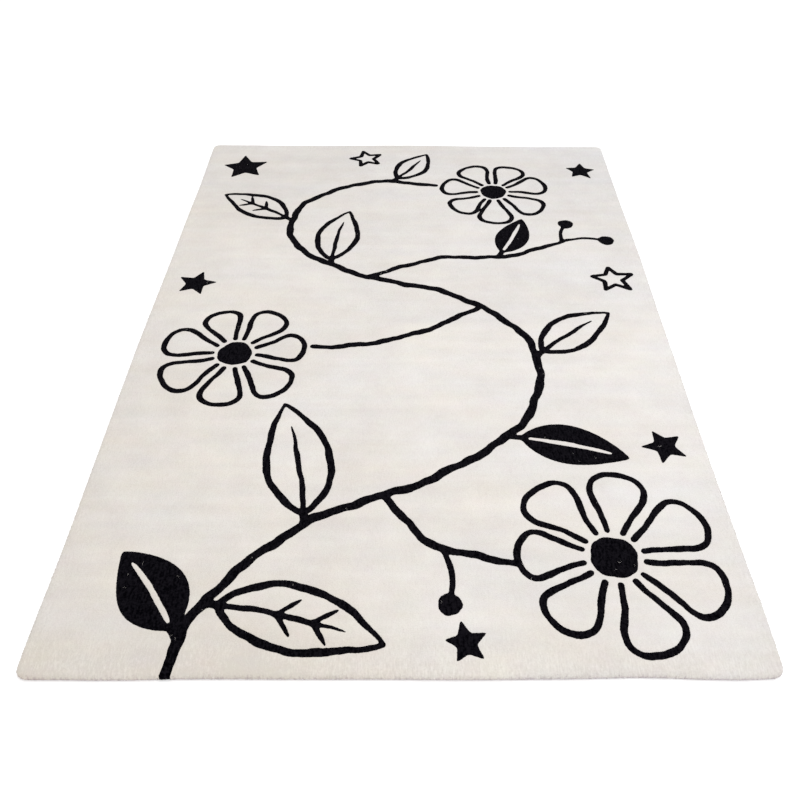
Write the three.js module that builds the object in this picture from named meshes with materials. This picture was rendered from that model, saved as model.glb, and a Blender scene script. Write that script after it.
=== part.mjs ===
// A hand-tufted wool rug for a child's room, lying flat on the floor. It is one piece of cloth: a woven
// backing with a dense cut pile tufted through it, so it is one closed solid. The black drawing is
// tufted into the same pile, level with the ivory ground, and has no relief of its own.
// The outline is that of a handmade rug: a little out of square, with soft corners and sides that
// wander by two or three millimetres. The pile leans out past the edge of the backing.
// Millimetres, +Z up, +X to the right and +Y to the far end, with the origin on the floor under the middle.

import * as THREE from "three";

// Driving dimensions.
const WIDTH = 1400;
const LENGTH = 2000;
const BACKING = 2.5;
const PILE = 12.5;
const THICKNESS = BACKING + PILE;

// The corners in order round the rug, seen from above and turning left. side and end say which corner it
// is, right and forward how far it lies from that of a true rectangle, and radius rounds it off.
const CORNERS = [
  { side: -1, end: -1, right: -2.0, forward: -7.8, radius: 20 },
  { side: 1, end: -1, right: -2.2, forward: 7.7, radius: 24 },
  { side: 1, end: 1, right: 2.0, forward: -1.8, radius: 18 },
  { side: -1, end: 1, right: 2.2, forward: 1.8, radius: 19 },
];

// How the sides wander: out is how far the side bulges at its most, at is where that is and reach how far
// along it dies away, both as shares of the side from the corner where that side starts.
const WANDERS = {
  near: [
    { at: 0.11, reach: 0.09, out: 1.4 },
    { at: 0.25, reach: 0.12, out: -1.1 },
    { at: 0.59, reach: 0.14, out: 1.5 },
    { at: 0.82, reach: 0.09, out: -2.8 },
    { at: 0.94, reach: 0.06, out: 2.8 },
  ],
  right: [
    { at: 0.06, reach: 0.06, out: 1.4 },
    { at: 0.27, reach: 0.2, out: -2.1 },
    { at: 0.67, reach: 0.17, out: 3.2 },
  ],
  far: [
    { at: 0.17, reach: 0.13, out: -2.2 },
    { at: 0.5, reach: 0.2, out: 3.0 },
    { at: 0.81, reach: 0.15, out: -2.0 },
  ],
  left: [
    { at: 0.13, reach: 0.12, out: -2.4 },
    { at: 0.55, reach: 0.24, out: 3.0 },
    { at: 0.86, reach: 0.12, out: -2.0 },
  ],
};

// Broad swells and hollows of the trodden pile: where each is, how far it reaches and how much it rises.
const SWELLS = [
  { x: 0, y: 960, reach: 260, rise: 0.9 },
  { x: -330, y: 420, reach: 420, rise: -0.8 },
  { x: 360, y: 250, reach: 380, rise: 0.7 },
  { x: -420, y: -360, reach: 400, rise: 0.8 },
  { x: 180, y: -520, reach: 460, rise: -0.9 },
  { x: 560, y: -860, reach: 240, rise: 0.8 },
];

// The rim's section from the floor up: how far it lies inside the outline, and its height. The backing's
// edge stands back, the pile bulges over it, and the shoulder rolls on to the top.
const RIM = [
  { inset: 3.2, height: 0 },
  { inset: 2.6, height: BACKING },
  { inset: 0, height: BACKING + 0.3 * PILE },
  { inset: 1.0, height: BACKING + 0.62 * PILE },
  { inset: 3.6, height: BACKING + 0.86 * PILE },
  { inset: 8.0, height: BACKING + 0.97 * PILE },
  { inset: 14.0, height: THICKNESS },
];

// Steps along the straight part of an end and of a long side, and along half of a corner.
const STEPS_ACROSS = 22;
const STEPS_ALONG = 32;
const STEPS_HALF_CORNER = 4;

// A soft bump: 1 at the middle, and 0 from a distance of 1 on.
const bump = (u) => (Math.abs(u) < 1 ? Math.cos((Math.PI / 2) * u) ** 2 : 0);

// The quarter circle that rounds a corner, as a function of a share of it: 0 where the side before it ends
// and 1 where the next side starts.
function roundedCorner({ side, end, right, forward, radius }) {
  const centre = new THREE.Vector2(
    side * (WIDTH / 2 - radius) + right,
    end * (LENGTH / 2 - radius) + forward,
  );
  const middle = Math.atan2(end, side);
  return (share) => {
    const angle = middle + (share - 0.5) * (Math.PI / 2);
    return new THREE.Vector2(Math.cos(angle), Math.sin(angle))
      .multiplyScalar(radius)
      .add(centre);
  };
}

// One side, from the middle of the corner where it starts to the middle of the corner where it ends. The
// last point is left to the side that follows.
function sideOfOutline(from, to, wanders, steps) {
  const start = from(1);
  const finish = to(0);
  const along = finish.clone().sub(start).normalize();
  const outward = new THREE.Vector2(along.y, -along.x);
  const points = [];
  for (let i = 0; i < STEPS_HALF_CORNER; i++) {
    points.push(from(0.5 + (0.5 * i) / STEPS_HALF_CORNER));
  }
  for (let i = 0; i <= steps; i++) {
    const share = i / steps;
    const out = wanders.reduce((sum, w) => sum + w.out * bump((share - w.at) / w.reach), 0);
    points.push(start.clone().lerp(finish, share).addScaledVector(outward, out));
  }
  for (let i = 1; i < STEPS_HALF_CORNER; i++) {
    points.push(to((0.5 * i) / STEPS_HALF_CORNER));
  }
  return points;
}

// The whole outline, anticlockwise from the middle of the near left corner.
function outlineOfRug() {
  const corners = CORNERS.map(roundedCorner);
  const sides = [
    { wanders: WANDERS.near, steps: STEPS_ACROSS },
    { wanders: WANDERS.right, steps: STEPS_ALONG },
    { wanders: WANDERS.far, steps: STEPS_ACROSS },
    { wanders: WANDERS.left, steps: STEPS_ALONG },
  ];
  return sides.flatMap(({ wanders, steps }, i) =>
    sideOfOutline(corners[i], corners[(i + 1) % corners.length], wanders, steps),
  );
}

// The outline's points moved inwards, square to the edge.
function insetOutline(outline, inset) {
  return outline.map((point, i) => {
    const before = outline[(i + outline.length - 1) % outline.length];
    const after = outline[(i + 1) % outline.length];
    const along = after.clone().sub(before).normalize();
    return new THREE.Vector2(point.x - along.y * inset, point.y + along.x * inset);
  });
}

// How much higher than its usual height the pile stands at a place.
function swellAt(x, y) {
  return SWELLS.reduce((sum, s) => sum + s.rise * bump(Math.hypot(x - s.x, y - s.y) / s.reach), 0);
}

// The point of the top inside its rim: a Coons patch between the four sides of the innermost ring.
function pointOnTop(ring, across, along, i, j) {
  const u = i / across;
  const v = j / along;
  const near = ring[i];
  const far = ring[2 * across + along - i];
  const right = ring[across + j];
  const left = ring[(ring.length - j) % ring.length];
  const corners = [ring[0], ring[across], ring[across + along], ring[2 * across + along]];
  const between = (axis) =>
    (1 - v) * near[axis] +
    v * far[axis] +
    (1 - u) * left[axis] +
    u * right[axis] -
    ((1 - u) * (1 - v) * corners[0][axis] +
      u * (1 - v) * corners[1][axis] +
      u * v * corners[2][axis] +
      (1 - u) * v * corners[3][axis]);
  return new THREE.Vector2(between("x"), between("y"));
}

// The rug as one closed mesh: a flat underside, the rim's rings, and the top.
function rugGeometry() {
  const outline = outlineOfRug();
  const across = STEPS_ACROSS + 2 * STEPS_HALF_CORNER;
  const along = STEPS_ALONG + 2 * STEPS_HALF_CORNER;
  const around = outline.length;
  const positions = [];
  const faces = [];
  const addPoint = (point, height) => {
    const risen = height + swellAt(point.x, point.y) * (height / THICKNESS);
    positions.push(point.x, point.y, risen);
    return positions.length / 3 - 1;
  };
  const addQuad = (a, b, c, d) => faces.push(a, b, c, a, c, d);

  const rings = RIM.map(({ inset, height }) => {
    const points = insetOutline(outline, inset);
    return { points, numbers: points.map((point) => addPoint(point, height)) };
  });
  for (let r = 1; r < rings.length; r++) {
    const low = rings[r - 1].numbers;
    const high = rings[r].numbers;
    for (let i = 0; i < around; i++) {
      const next = (i + 1) % around;
      addQuad(low[i], low[next], high[next], high[i]);
    }
  }

  const foot = rings[0];
  for (const [a, b, c] of THREE.ShapeUtils.triangulateShape(foot.points, [])) {
    faces.push(foot.numbers[a], foot.numbers[c], foot.numbers[b]);
  }

  const shoulder = rings[rings.length - 1];
  const numberOnTop = (i, j) => {
    if (j === 0) return shoulder.numbers[i];
    if (i === across) return shoulder.numbers[across + j];
    if (j === along) return shoulder.numbers[2 * across + along - i];
    if (i === 0) return shoulder.numbers[around - j];
    return addPoint(pointOnTop(shoulder.points, across, along, i, j), THICKNESS);
  };
  const grid = Array.from({ length: across + 1 }, (_, i) =>
    Array.from({ length: along + 1 }, (_, j) => numberOnTop(i, j)),
  );
  for (let i = 0; i < across; i++) {
    for (let j = 0; j < along; j++) {
      addQuad(grid[i][j], grid[i + 1][j], grid[i + 1][j + 1], grid[i][j + 1]);
    }
  }

  const geometry = new THREE.BufferGeometry();
  geometry.setAttribute("position", new THREE.Float32BufferAttribute(positions, 3));
  geometry.setIndex(faces);
  geometry.computeBoundingBox();
  const middle = geometry.boundingBox.getCenter(new THREE.Vector3());
  geometry.translate(-middle.x, -middle.y, 0);
  geometry.computeVertexNormals();
  return geometry;
}

const ivoryWool = new THREE.MeshStandardMaterial({ color: 0xe9e3d9, roughness: 0.95, metalness: 0 });

const rug = new THREE.Mesh(rugGeometry(), ivoryWool);
rug.name = "rug";

const part = new THREE.Group();
part.add(rug);

export default part;
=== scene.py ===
"""A hand-tufted wool rug for a child's room, dressed round its construction model.

Ivory and black wool are tufted side by side into one backing and cut to one height. The pile is built
as two fitted pieces, the ivory ground and the black drawing, which meet in a shallow carved line. Yarns
stand round the rim and lean over the drawing's edges, and a woven backing lies underneath.

Lengths are in metres in the rug's own frame: +Z up, +X right, +Y towards the far end. The skin of the
pile is first thought of as spread out flat on the plan, with the rim's side folded out round it, and is
then laid over the rug's form.
"""

import logging
import math
from dataclasses import dataclass
from enum import Enum

import bmesh
import bpy
import numpy as np
from mathutils import Matrix, Vector
from mathutils.bvhtree import BVHTree
from mathutils.geometry import delaunay_2d_cdt
from mathutils.kdtree import KDTree


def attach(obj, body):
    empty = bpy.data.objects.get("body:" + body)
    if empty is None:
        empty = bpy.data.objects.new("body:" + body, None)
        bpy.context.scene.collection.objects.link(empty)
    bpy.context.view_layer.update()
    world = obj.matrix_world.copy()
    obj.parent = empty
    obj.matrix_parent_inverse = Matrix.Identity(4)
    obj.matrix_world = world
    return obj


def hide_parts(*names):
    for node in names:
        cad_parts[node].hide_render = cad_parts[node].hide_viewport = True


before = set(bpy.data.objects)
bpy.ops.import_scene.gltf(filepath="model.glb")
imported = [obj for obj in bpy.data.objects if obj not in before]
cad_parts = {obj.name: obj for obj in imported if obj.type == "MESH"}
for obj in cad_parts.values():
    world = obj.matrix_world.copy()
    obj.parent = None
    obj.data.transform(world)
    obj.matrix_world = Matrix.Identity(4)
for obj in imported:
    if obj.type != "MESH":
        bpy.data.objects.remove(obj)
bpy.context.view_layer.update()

LOG = logging.getLogger("rug")

RUG_NODE = "rug"
FLAT_SIZE = (1.4, 2.0)
THICKNESS = 0.015
TUFT = 0.0045
YARN_ROOM = 0.0009
MILLIMETRE = 0.001
WELD_GAP = 3e-6
SHARP_ANGLE = math.radians(48)
CDT_INSIDE = 1
CDT_GAP = 1e-7

VECTOR = "NodeSocketVector"
FLOAT = "NodeSocketFloat"
GEOMETRY = "NodeSocketGeometry"

Plan = np.ndarray
Points = np.ndarray
Triple = tuple[float, float, float]
Socket = bpy.types.NodeSocket


def lengths_along(line: Plan) -> np.ndarray:
    """Gives the length gone along a line at each of its points."""
    steps = np.linalg.norm(np.diff(line, axis=0), axis=1)
    return np.concatenate([[0.0], np.cumsum(steps)])


def respaced(line: Plan, count: int, closed: bool = False) -> Plan:
    """Gives a line another number of points, evenly spaced.

    Args:
        line: The line's points.
        count: How many points it gets.
        closed: Whether the line's end joins its start.

    Returns:
        The new points. A closed line doesn't repeat its first one.
    """
    if closed:
        line = np.vstack([line, line[:1]])
    gone = lengths_along(line)
    places = np.linspace(0, gone[-1], count + int(closed))
    return np.stack([np.interp(places, gone, column) for column in line.T], 1)[:count]


def evenly(line: Plan, step: float, closed: bool = False) -> Plan:
    """Spaces the points of a line evenly.

    Args:
        line: The line's points.
        step: About how far apart the new points lie.
        closed: Whether the line's end joins its start.

    Returns:
        The new points. A closed line doesn't repeat its first one.
    """
    whole = np.vstack([line, line[:1]]) if closed else line
    spans = max(2, int(round(lengths_along(whole)[-1] / step)))
    return respaced(line, spans + int(not closed), closed)


def left_of(line: Plan, closed: bool = False) -> Plan:
    """Gives unit vectors that point to the left of a line.

    Args:
        line: The line's points.
        closed: Whether the line's end joins its start.

    Returns:
        One vector for each point.
    """
    if closed:
        along = np.roll(line, -1, 0) - np.roll(line, 1, 0)
    else:
        along = np.gradient(line, axis=0)
    along = along / np.maximum(np.linalg.norm(along, axis=1, keepdims=True), 1e-12)
    return np.stack([-along[:, 1], along[:, 0]], 1)


def soften(line: Plan, spread: float) -> Plan:
    """Rounds a closed line's small kinks off.

    Args:
        line: The line's points, evenly spaced.
        spread: How far the rounding reaches, in points.

    Returns:
        The line's new points.
    """
    reach = np.arange(-math.ceil(3 * spread), math.ceil(3 * spread) + 1)
    weight = np.exp(-0.5 * (reach / spread) ** 2)
    weight /= weight.sum()
    return sum(w * np.roll(line, k, 0) for w, k in zip(weight, reach))


def smooth_path(knots: list[tuple[float, float]] | Plan, step: float = 0.006) -> Plan:
    """Draws a smooth line through a few knots.

    Args:
        knots: The points that the line passes through.
        step: About how far apart the line's points lie.

    Returns:
        The line's points, evenly spaced.
    """
    knots = np.asarray(knots, float)
    ends = np.vstack([2 * knots[0] - knots[1], knots, 2 * knots[-1] - knots[-2]])
    share = np.linspace(0, 1, 40, endpoint=False)[:, None]
    spans = []
    for before, start, stop, after in zip(ends, ends[1:], ends[2:], ends[3:]):
        slope = stop - before
        bend = 2 * before - 5 * start + 4 * stop - after
        twist = 3 * start - before - 3 * stop + after
        spans.append(start + 0.5 * (slope * share + bend * share**2 + twist * share**3))
    return evenly(np.vstack([*spans, knots[-1:]]), step)


def finder(plan: Plan) -> KDTree:
    """Gets points on the plan ready for the search for the nearest one.

    Args:
        plan: The points.

    Returns:
        The tree to search in, which numbers the points in their order.
    """
    tree = KDTree(len(plan))
    for index, (x, y) in enumerate(plan):
        tree.insert((x, y, 0), index)
    tree.balance()
    return tree


def nearest_numbers(tree: KDTree, places: Plan) -> np.ndarray:
    """Finds the number of the point nearest to each place."""
    return np.array([tree.find((x, y, 0))[1] for x, y in places])


@dataclass(frozen=True)
class Mark:
    """One brush mark: a line and the brush's half width at each point of it."""

    line: Plan
    reach: np.ndarray
    closed: bool = False
    bare: bool = False


@dataclass(frozen=True)
class Blot:
    """A shape filled with black, by its edge."""

    edge: Plan

    @classmethod
    def soft(cls, edge: Plan, step: float = 0.003) -> "Blot":
        """Makes one whose corners are rounded, as tufts can't follow a sharp corner."""
        return cls(soften(evenly(edge, step, closed=True), 1.2))


@dataclass(frozen=True)
class Brush:
    """A brush's width, the shares of it at the two ends of a mark, and how soon the ends thin out."""

    width: float = 0.017
    start: float = 1.0
    end: float = 0.12
    run_out: float = 0.10


@dataclass
class Hand:
    """A steady but human hand: its lines wander a little and its brush presses unevenly.

    Lines sway and the brush presses in slow waves, each of a few swings with a share of the wave's
    length and a size. Near the ends of a line, within steady_end, the sway dies away.
    """

    seed: int
    swings: tuple[tuple[float, float], ...] = ((1.0, 0.6), (0.47, 0.3), (0.21, 0.14))
    pace_range: tuple[float, float] = (0.85, 1.15)
    line_step: float = 0.006
    sway_length: float = 0.16
    steady_end: float = 0.05
    press_length: float = 0.11
    press_share: float = 0.13
    longest_run_out: float = 0.45
    disc_points: int = 48
    disc_unevenness: float = 0.06

    def __post_init__(self) -> None:
        """Starts the hand's own run of chance."""
        self.chance = np.random.default_rng(self.seed)

    def waver(self, gone: np.ndarray, wave: float, closed: bool = False) -> np.ndarray:
        """Makes a slow wave along a line.

        Args:
            gone: The length gone at each point of the line.
            wave: The length of the wave's longest swing.
            closed: Whether the wave has to end as it starts.

        Returns:
            A value between about -1 and 1 for each point.
        """
        total = max(gone[-1], 1e-6)
        sway = np.zeros(len(gone))
        for share, size in self.swings:
            phase = self.chance.uniform(0, 2 * math.pi)
            turns = total / (wave * share * self.chance.uniform(*self.pace_range))
            if closed:
                turns = max(1, round(turns))
            sway += size * np.sin(2 * math.pi * turns * gone / total + phase)
        return sway

    def draw(
        self,
        line: Plan,
        brush: Brush,
        closed: bool = False,
        bare: bool = False,
        stray: float = 0.0025,
    ) -> Mark:
        """Draws a line with a brush.

        Args:
            line: Where the line is meant to go.
            brush: The brush.
            closed: Whether the line's end joins its start.
            bare: Whether the mark takes black away instead of laying it down.
            stray: How far the hand strays from the line.

        Returns:
            The mark.
        """
        line = evenly(line, self.line_step, closed)
        gone = lengths_along(line)
        total = gone[-1]
        fade = np.ones(len(line))
        if not closed:
            fade = np.clip(np.minimum(gone, total - gone) / self.steady_end, 0, 1)
        sway = stray * self.waver(gone, self.sway_length, closed) * fade
        line = line + left_of(line, closed) * sway[:, None]
        press = 1 + self.press_share * self.waver(gone, self.press_length, closed)
        if not closed:
            run = min(brush.run_out, self.longest_run_out * total)
            press *= brush.start + (1 - brush.start) * np.sqrt(np.clip(gone / run, 0, 1))
            press *= brush.end + (1 - brush.end) * np.sqrt(np.clip((total - gone) / run, 0, 1))
        return Mark(line, 0.5 * brush.width * press, closed, bare)

    def disc(self, centre: Plan, radius: float) -> Blot:
        """Fills a round shape that isn't quite a circle.

        Args:
            centre: Its middle.
            radius: Its usual radius.

        Returns:
            The filled shape.
        """
        angle = np.linspace(0, 2 * math.pi, self.disc_points + 1)
        unevenness = self.disc_unevenness * self.waver(angle * radius, radius * 2, closed=True)
        size = radius * (1 + unevenness)
        edge = centre + np.stack([np.cos(angle), np.sin(angle)], 1) * size[:, None]
        return Blot(edge[:-1])


@dataclass(frozen=True)
class Stem:
    """A stem of the plant, through listed knots."""

    knots: tuple[tuple[float, float], ...]
    brush: Brush
    stray: float = 0.004

    @property
    def line(self) -> Plan:
        """The stem's middle line."""
        return smooth_path(self.knots)

    def place(self, share: float, side: int, lean: float) -> tuple[Plan, float]:
        """Finds where something grows from the stem, and which way it heads.

        Args:
            share: How far along the stem, from 0 to 1.
            side: 1 for the left of the stem, -1 for its right.
            lean: The angle from the stem's own direction, in degrees.

        Returns:
            The point, and the heading in radians from +X.
        """
        line = self.line
        index = min(int(share * (len(line) - 1)), len(line) - 2)
        along = line[index + 1] - line[max(index - 1, 0)]
        return line[index], math.atan2(along[1], along[0]) + side * math.radians(lean)

    def shapes(self, hand: Hand) -> list[Mark | Blot]:
        """Draws the stem."""
        return [hand.draw(self.line, self.brush, stray=self.stray)]


class LeafStyle(Enum):
    """How a leaf is drawn."""

    PLAIN = "outline and midrib"
    VEINED = "outline, midrib and side veins"
    INKED = "black with a bare midrib"


@dataclass(frozen=True)
class Leaf:
    """A leaf on a stem: where it grows, how it leans, and its size.

    The bow and the back bow bend it sideways, taper and fullness shape its blade, and the places of
    its veins and their ends are shares of its middle line.
    """

    stem: Stem
    at: float
    side: int
    lean: float
    length: float
    width: float
    bow: float
    style: LeafStyle
    stalk: float = 0.03
    near_edge: Brush = Brush(0.0165, 0.9, 0.35, 0.12)
    far_edge: Brush = Brush(0.0165, 0.8, 0.5, 0.12)
    midrib: Brush = Brush(0.0125, 0.9, 0.12)
    side_vein: Brush = Brush(0.0105, 0.9, 0.2, 0.05)
    inked_stalk: Brush = Brush(0.015, 0.9, 0.9)
    bare_midrib: Brush = Brush(0.012, 0.6, 0.4)
    steady: float = 0.001
    points: int = 60
    back_bow: float = 0.35
    taper: float = 0.82
    fullness: float = 0.85
    midrib_end: float = 0.80
    bare_end: float = 0.86
    bare_from: int = 5
    stalk_ahead: int = 8
    vein_places: tuple[float, float] = (0.40, 0.60)
    vein_slant: float = 3.2
    vein_reach: float = 0.62

    def shapes(self, hand: Hand) -> list[Mark | Blot]:
        """Draws the leaf.

        Args:
            hand: The hand that draws it.

        Returns:
            Its marks and filled shapes.
        """
        base, heading = self.stem.place(self.at, self.side, self.lean)
        total = self.stalk + self.length
        share = np.linspace(0, 1, self.points)
        forth = np.array([math.cos(heading), math.sin(heading)])
        across = np.array([-forth[1], forth[0]])
        bow = self.side * self.bow * total * (share**2 - self.back_bow * share)
        rib = base + forth * (total * share)[:, None] + across * bow[:, None]
        blade = np.clip((share * total - self.stalk) / self.length, 0, 1)
        half = 0.5 * self.width * np.sin(np.pi * blade**self.taper) ** self.fullness
        aside = left_of(rib) * half[:, None]
        first = max(int(np.argmax(blade > 0)) - 1, 1)
        left, right = (rib + aside)[first:], (rib - aside)[first:]
        if self.style is LeafStyle.INKED:
            return self._inked(hand, rib, left, right, first)
        shapes = [
            hand.draw(np.vstack([rib[:first], left]), self.near_edge),
            hand.draw(right, self.far_edge),
            hand.draw(rib[first : int(self.midrib_end * len(rib))], self.midrib),
        ]
        if self.style is LeafStyle.VEINED:
            shapes += self._side_veins(hand, rib, aside)
        return shapes

    def _inked(
        self, hand: Hand, rib: Plan, left: Plan, right: Plan, first: int
    ) -> list[Mark | Blot]:
        """Fills the blade and leaves its midrib bare.

        Args:
            hand: The hand that draws.
            rib: The leaf's middle line, from the foot of its stalk.
            left: The blade's left edge.
            right: The blade's right edge.
            first: The number of the rib's point where the blade starts.

        Returns:
            The blade, its stalk and its bare midrib.
        """
        vein = rib[first + self.bare_from : int(self.bare_end * len(rib))]
        return [
            Blot.soft(np.vstack([left, right[::-1]])),
            hand.draw(rib[: first + self.stalk_ahead], self.inked_stalk),
            hand.draw(vein, self.bare_midrib, bare=True, stray=self.steady),
        ]

    def _side_veins(self, hand: Hand, rib: Plan, aside: Plan) -> list[Mark | Blot]:
        """Draws two pairs of veins that slant towards the leaf's tip.

        Args:
            hand: The hand that draws.
            rib: The leaf's middle line.
            aside: How far the blade's left edge lies from it.

        Returns:
            The veins.
        """
        veins = []
        for share in self.vein_places:
            index = int(share * len(rib))
            slant = (rib[index + 1] - rib[index - 1]) * self.vein_slant
            for sign in (1, -1):
                tip = rib[index] + sign * self.vein_reach * aside[index] + slant
                vein = evenly(np.vstack([rib[index], tip]), hand.line_step)
                veins.append(hand.draw(vein, self.side_vein, stray=self.steady))
        return veins


@dataclass(frozen=True)
class Flower:
    """A daisy: a ring of outlined petals round a black eye.

    The eye, the petals' start and their range of sizes are shares of the flower's radius. A petal
    opens to about a share of the angle that it has to itself, less at its ends and more in the middle.
    """

    centre: tuple[float, float]
    radius: float
    petals: int
    turn: float
    eye: float = 0.235
    start: float = 0.31
    heading_stray: float = 0.05
    sizes: tuple[float, float] = (0.92, 1.07)
    points: int = 50
    fullness: float = 0.62
    opening: float = 0.50
    least_open: float = 0.56
    more_open: float = 0.66
    brush: Brush = Brush(0.0145, 0.9, 0.9)

    def shapes(self, hand: Hand) -> list[Mark | Blot]:
        """Draws the eye and then the petals, none quite like another.

        Args:
            hand: The hand that draws.

        Returns:
            The eye and the petals.
        """
        shapes: list[Mark | Blot] = [hand.disc(np.array(self.centre), self.eye * self.radius)]
        spread = 2 * math.pi / self.petals
        for index in range(self.petals):
            stray = hand.chance.uniform(-self.heading_stray, self.heading_stray)
            heading = math.radians(self.turn) + index * spread + stray
            size = self.radius * hand.chance.uniform(*self.sizes)
            shapes.append(self._petal(hand, heading, size, spread))
        return shapes

    def _petal(self, hand: Hand, heading: float, size: float, spread: float) -> Mark:
        """Draws one petal as a single stroke out, round and back.

        Args:
            hand: The hand that draws.
            heading: Which way the petal points, in radians from +X.
            size: How far its tip lies from the flower's middle.
            spread: The angle that it has to itself.

        Returns:
            The petal.
        """
        share = np.linspace(0, 1, self.points)
        out, across = np.sin(np.pi * share), np.cos(np.pi * share)
        start = self.start * self.radius
        reach = start + (size - start) * out**self.fullness
        opening = self.opening * across * (self.least_open + self.more_open * out)
        angle = heading + spread * opening
        ways = np.stack([np.cos(angle), np.sin(angle)], 1)
        return hand.draw(np.array(self.centre) + ways * reach[:, None], self.brush)


@dataclass(frozen=True)
class Star:
    """A small star, inked or in outline, whose notches and range of sizes are shares of its radius."""

    centre: tuple[float, float]
    radius: float
    turn: float
    inked: bool = True
    rays: int = 5
    notch: float = 0.46
    sizes: tuple[float, float] = (0.92, 1.08)
    brush: Brush = Brush(0.013)
    stray: float = 0.001

    def shapes(self, hand: Hand) -> list[Mark | Blot]:
        """Draws the star with rays that differ a little.

        Args:
            hand: The hand that draws.

        Returns:
            The star.
        """
        step = math.pi / self.rays
        angle = math.radians(self.turn + 90) + np.arange(2 * self.rays) * step
        size = np.where(np.arange(2 * self.rays) % 2 == 0, 1.0, self.notch) * self.radius
        size = size * hand.chance.uniform(*self.sizes, len(size))
        ways = np.stack([np.cos(angle), np.sin(angle)], 1)
        edge = np.array(self.centre) + ways * size[:, None]
        if self.inked:
            return [Blot.soft(edge)]
        return [hand.draw(edge, self.brush, closed=True, stray=self.stray)]


@dataclass(frozen=True)
class Berry:
    """A black berry on its stalk."""

    stem: Stem
    at: float
    side: int
    lean: float
    stalk: float
    radius: float = 0.024
    bend: float = 0.10
    brush: Brush = Brush(0.012, 1.0, 0.8)
    stray: float = 0.001

    def shapes(self, hand: Hand) -> list[Mark | Blot]:
        """Draws the stalk and the berry at its end.

        Args:
            hand: The hand that draws.

        Returns:
            The stalk and the berry.
        """
        start, heading = self.stem.place(self.at, self.side, self.lean)
        forth = np.array([math.cos(heading), math.sin(heading)])
        end = start + self.stalk * forth
        bend = self.bend * self.stalk * np.array([-forth[1], forth[0]])
        stalk = smooth_path([start, 0.5 * (start + end) + bend, end])
        return [
            hand.draw(stalk, self.brush, stray=self.stray),
            hand.disc(end, self.radius),
        ]


class Garden:
    """The picture on the rug: a leafy plant with daisies and berries under a few stars."""

    def __init__(self) -> None:
        """Lays the picture out."""
        slim = Brush(0.018, 0.9, 0.8)
        main = Stem(
            (
                (-0.44, -1.06),
                (-0.39, -0.86),
                (-0.20, -0.66),
                (0.08, -0.53),
                (0.30, -0.34),
                (0.33, -0.08),
                (0.14, 0.12),
                (-0.14, 0.22),
                (-0.34, 0.38),
                (-0.33, 0.60),
                (-0.12, 0.74),
                (0.10, 0.72),
            ),
            Brush(0.021, 1.0, 0.8),
        )
        lower = Stem(((-0.04, -0.59), (0.06, -0.71), (0.228, -0.757)), slim)
        left = Stem(((0.20, 0.06), (0.02, -0.05), (-0.16, -0.10), (-0.24, -0.10)), slim)
        upper = Stem(
            ((-0.10, 0.21), (0.10, 0.30), (0.30, 0.31), (0.50, 0.40)), Brush(0.018, 0.9, 0.4)
        )
        plain, veined, inked = LeafStyle.PLAIN, LeafStyle.VEINED, LeafStyle.INKED
        self.parts = [
            main,
            lower,
            left,
            upper,
            Leaf(main, 0.045, 1, 44, 0.22, 0.135, 0.16, inked),
            Leaf(main, 0.075, -1, 66, 0.33, 0.135, 0.14, veined),
            Leaf(main, 0.165, 1, 62, 0.33, 0.145, 0.12, plain),
            Leaf(main, 0.345, -1, 52, 0.25, 0.12, 0.14, inked),
            Leaf(main, 0.45, -1, 52, 0.25, 0.115, 0.12, plain),
            Leaf(main, 0.70, -1, 60, 0.26, 0.12, 0.14, plain),
            Leaf(main, 0.80, 1, 58, 0.25, 0.115, 0.12, veined),
            Leaf(main, 0.95, 1, 58, 0.19, 0.095, 0.12, plain),
            Leaf(upper, 0.62, 1, 55, 0.20, 0.10, 0.12, inked),
            Berry(upper, 0.97, 1, 50, 0.10),
            Berry(upper, 1.0, -1, 25, 0.12),
            Berry(lower, 0.55, -1, 62, 0.13),
            Flower((0.43, -0.74), 0.21, 7, 26),
            Flower((-0.44, -0.13), 0.19, 7, 8),
            Flower((0.29, 0.68), 0.18, 7, 14),
            Star((-0.56, 0.84), 0.085, 8),
            Star((-0.60, 0.17), 0.06, -12),
            Star((0.60, -0.44), 0.055, 20),
            Star((0.60, 0.20), 0.06, 5, inked=False),
            Star((-0.14, 0.90), 0.055, 15, inked=False),
            Star((0.60, 0.82), 0.055, -6),
            Star((0.12, -0.93), 0.045, 10),
        ]

    def shapes(self) -> list[Mark | Blot]:
        """Draws every part with the same hand."""
        hand = Hand(11)
        return [shape for part in self.parts for shape in part.shapes(hand)]


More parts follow.
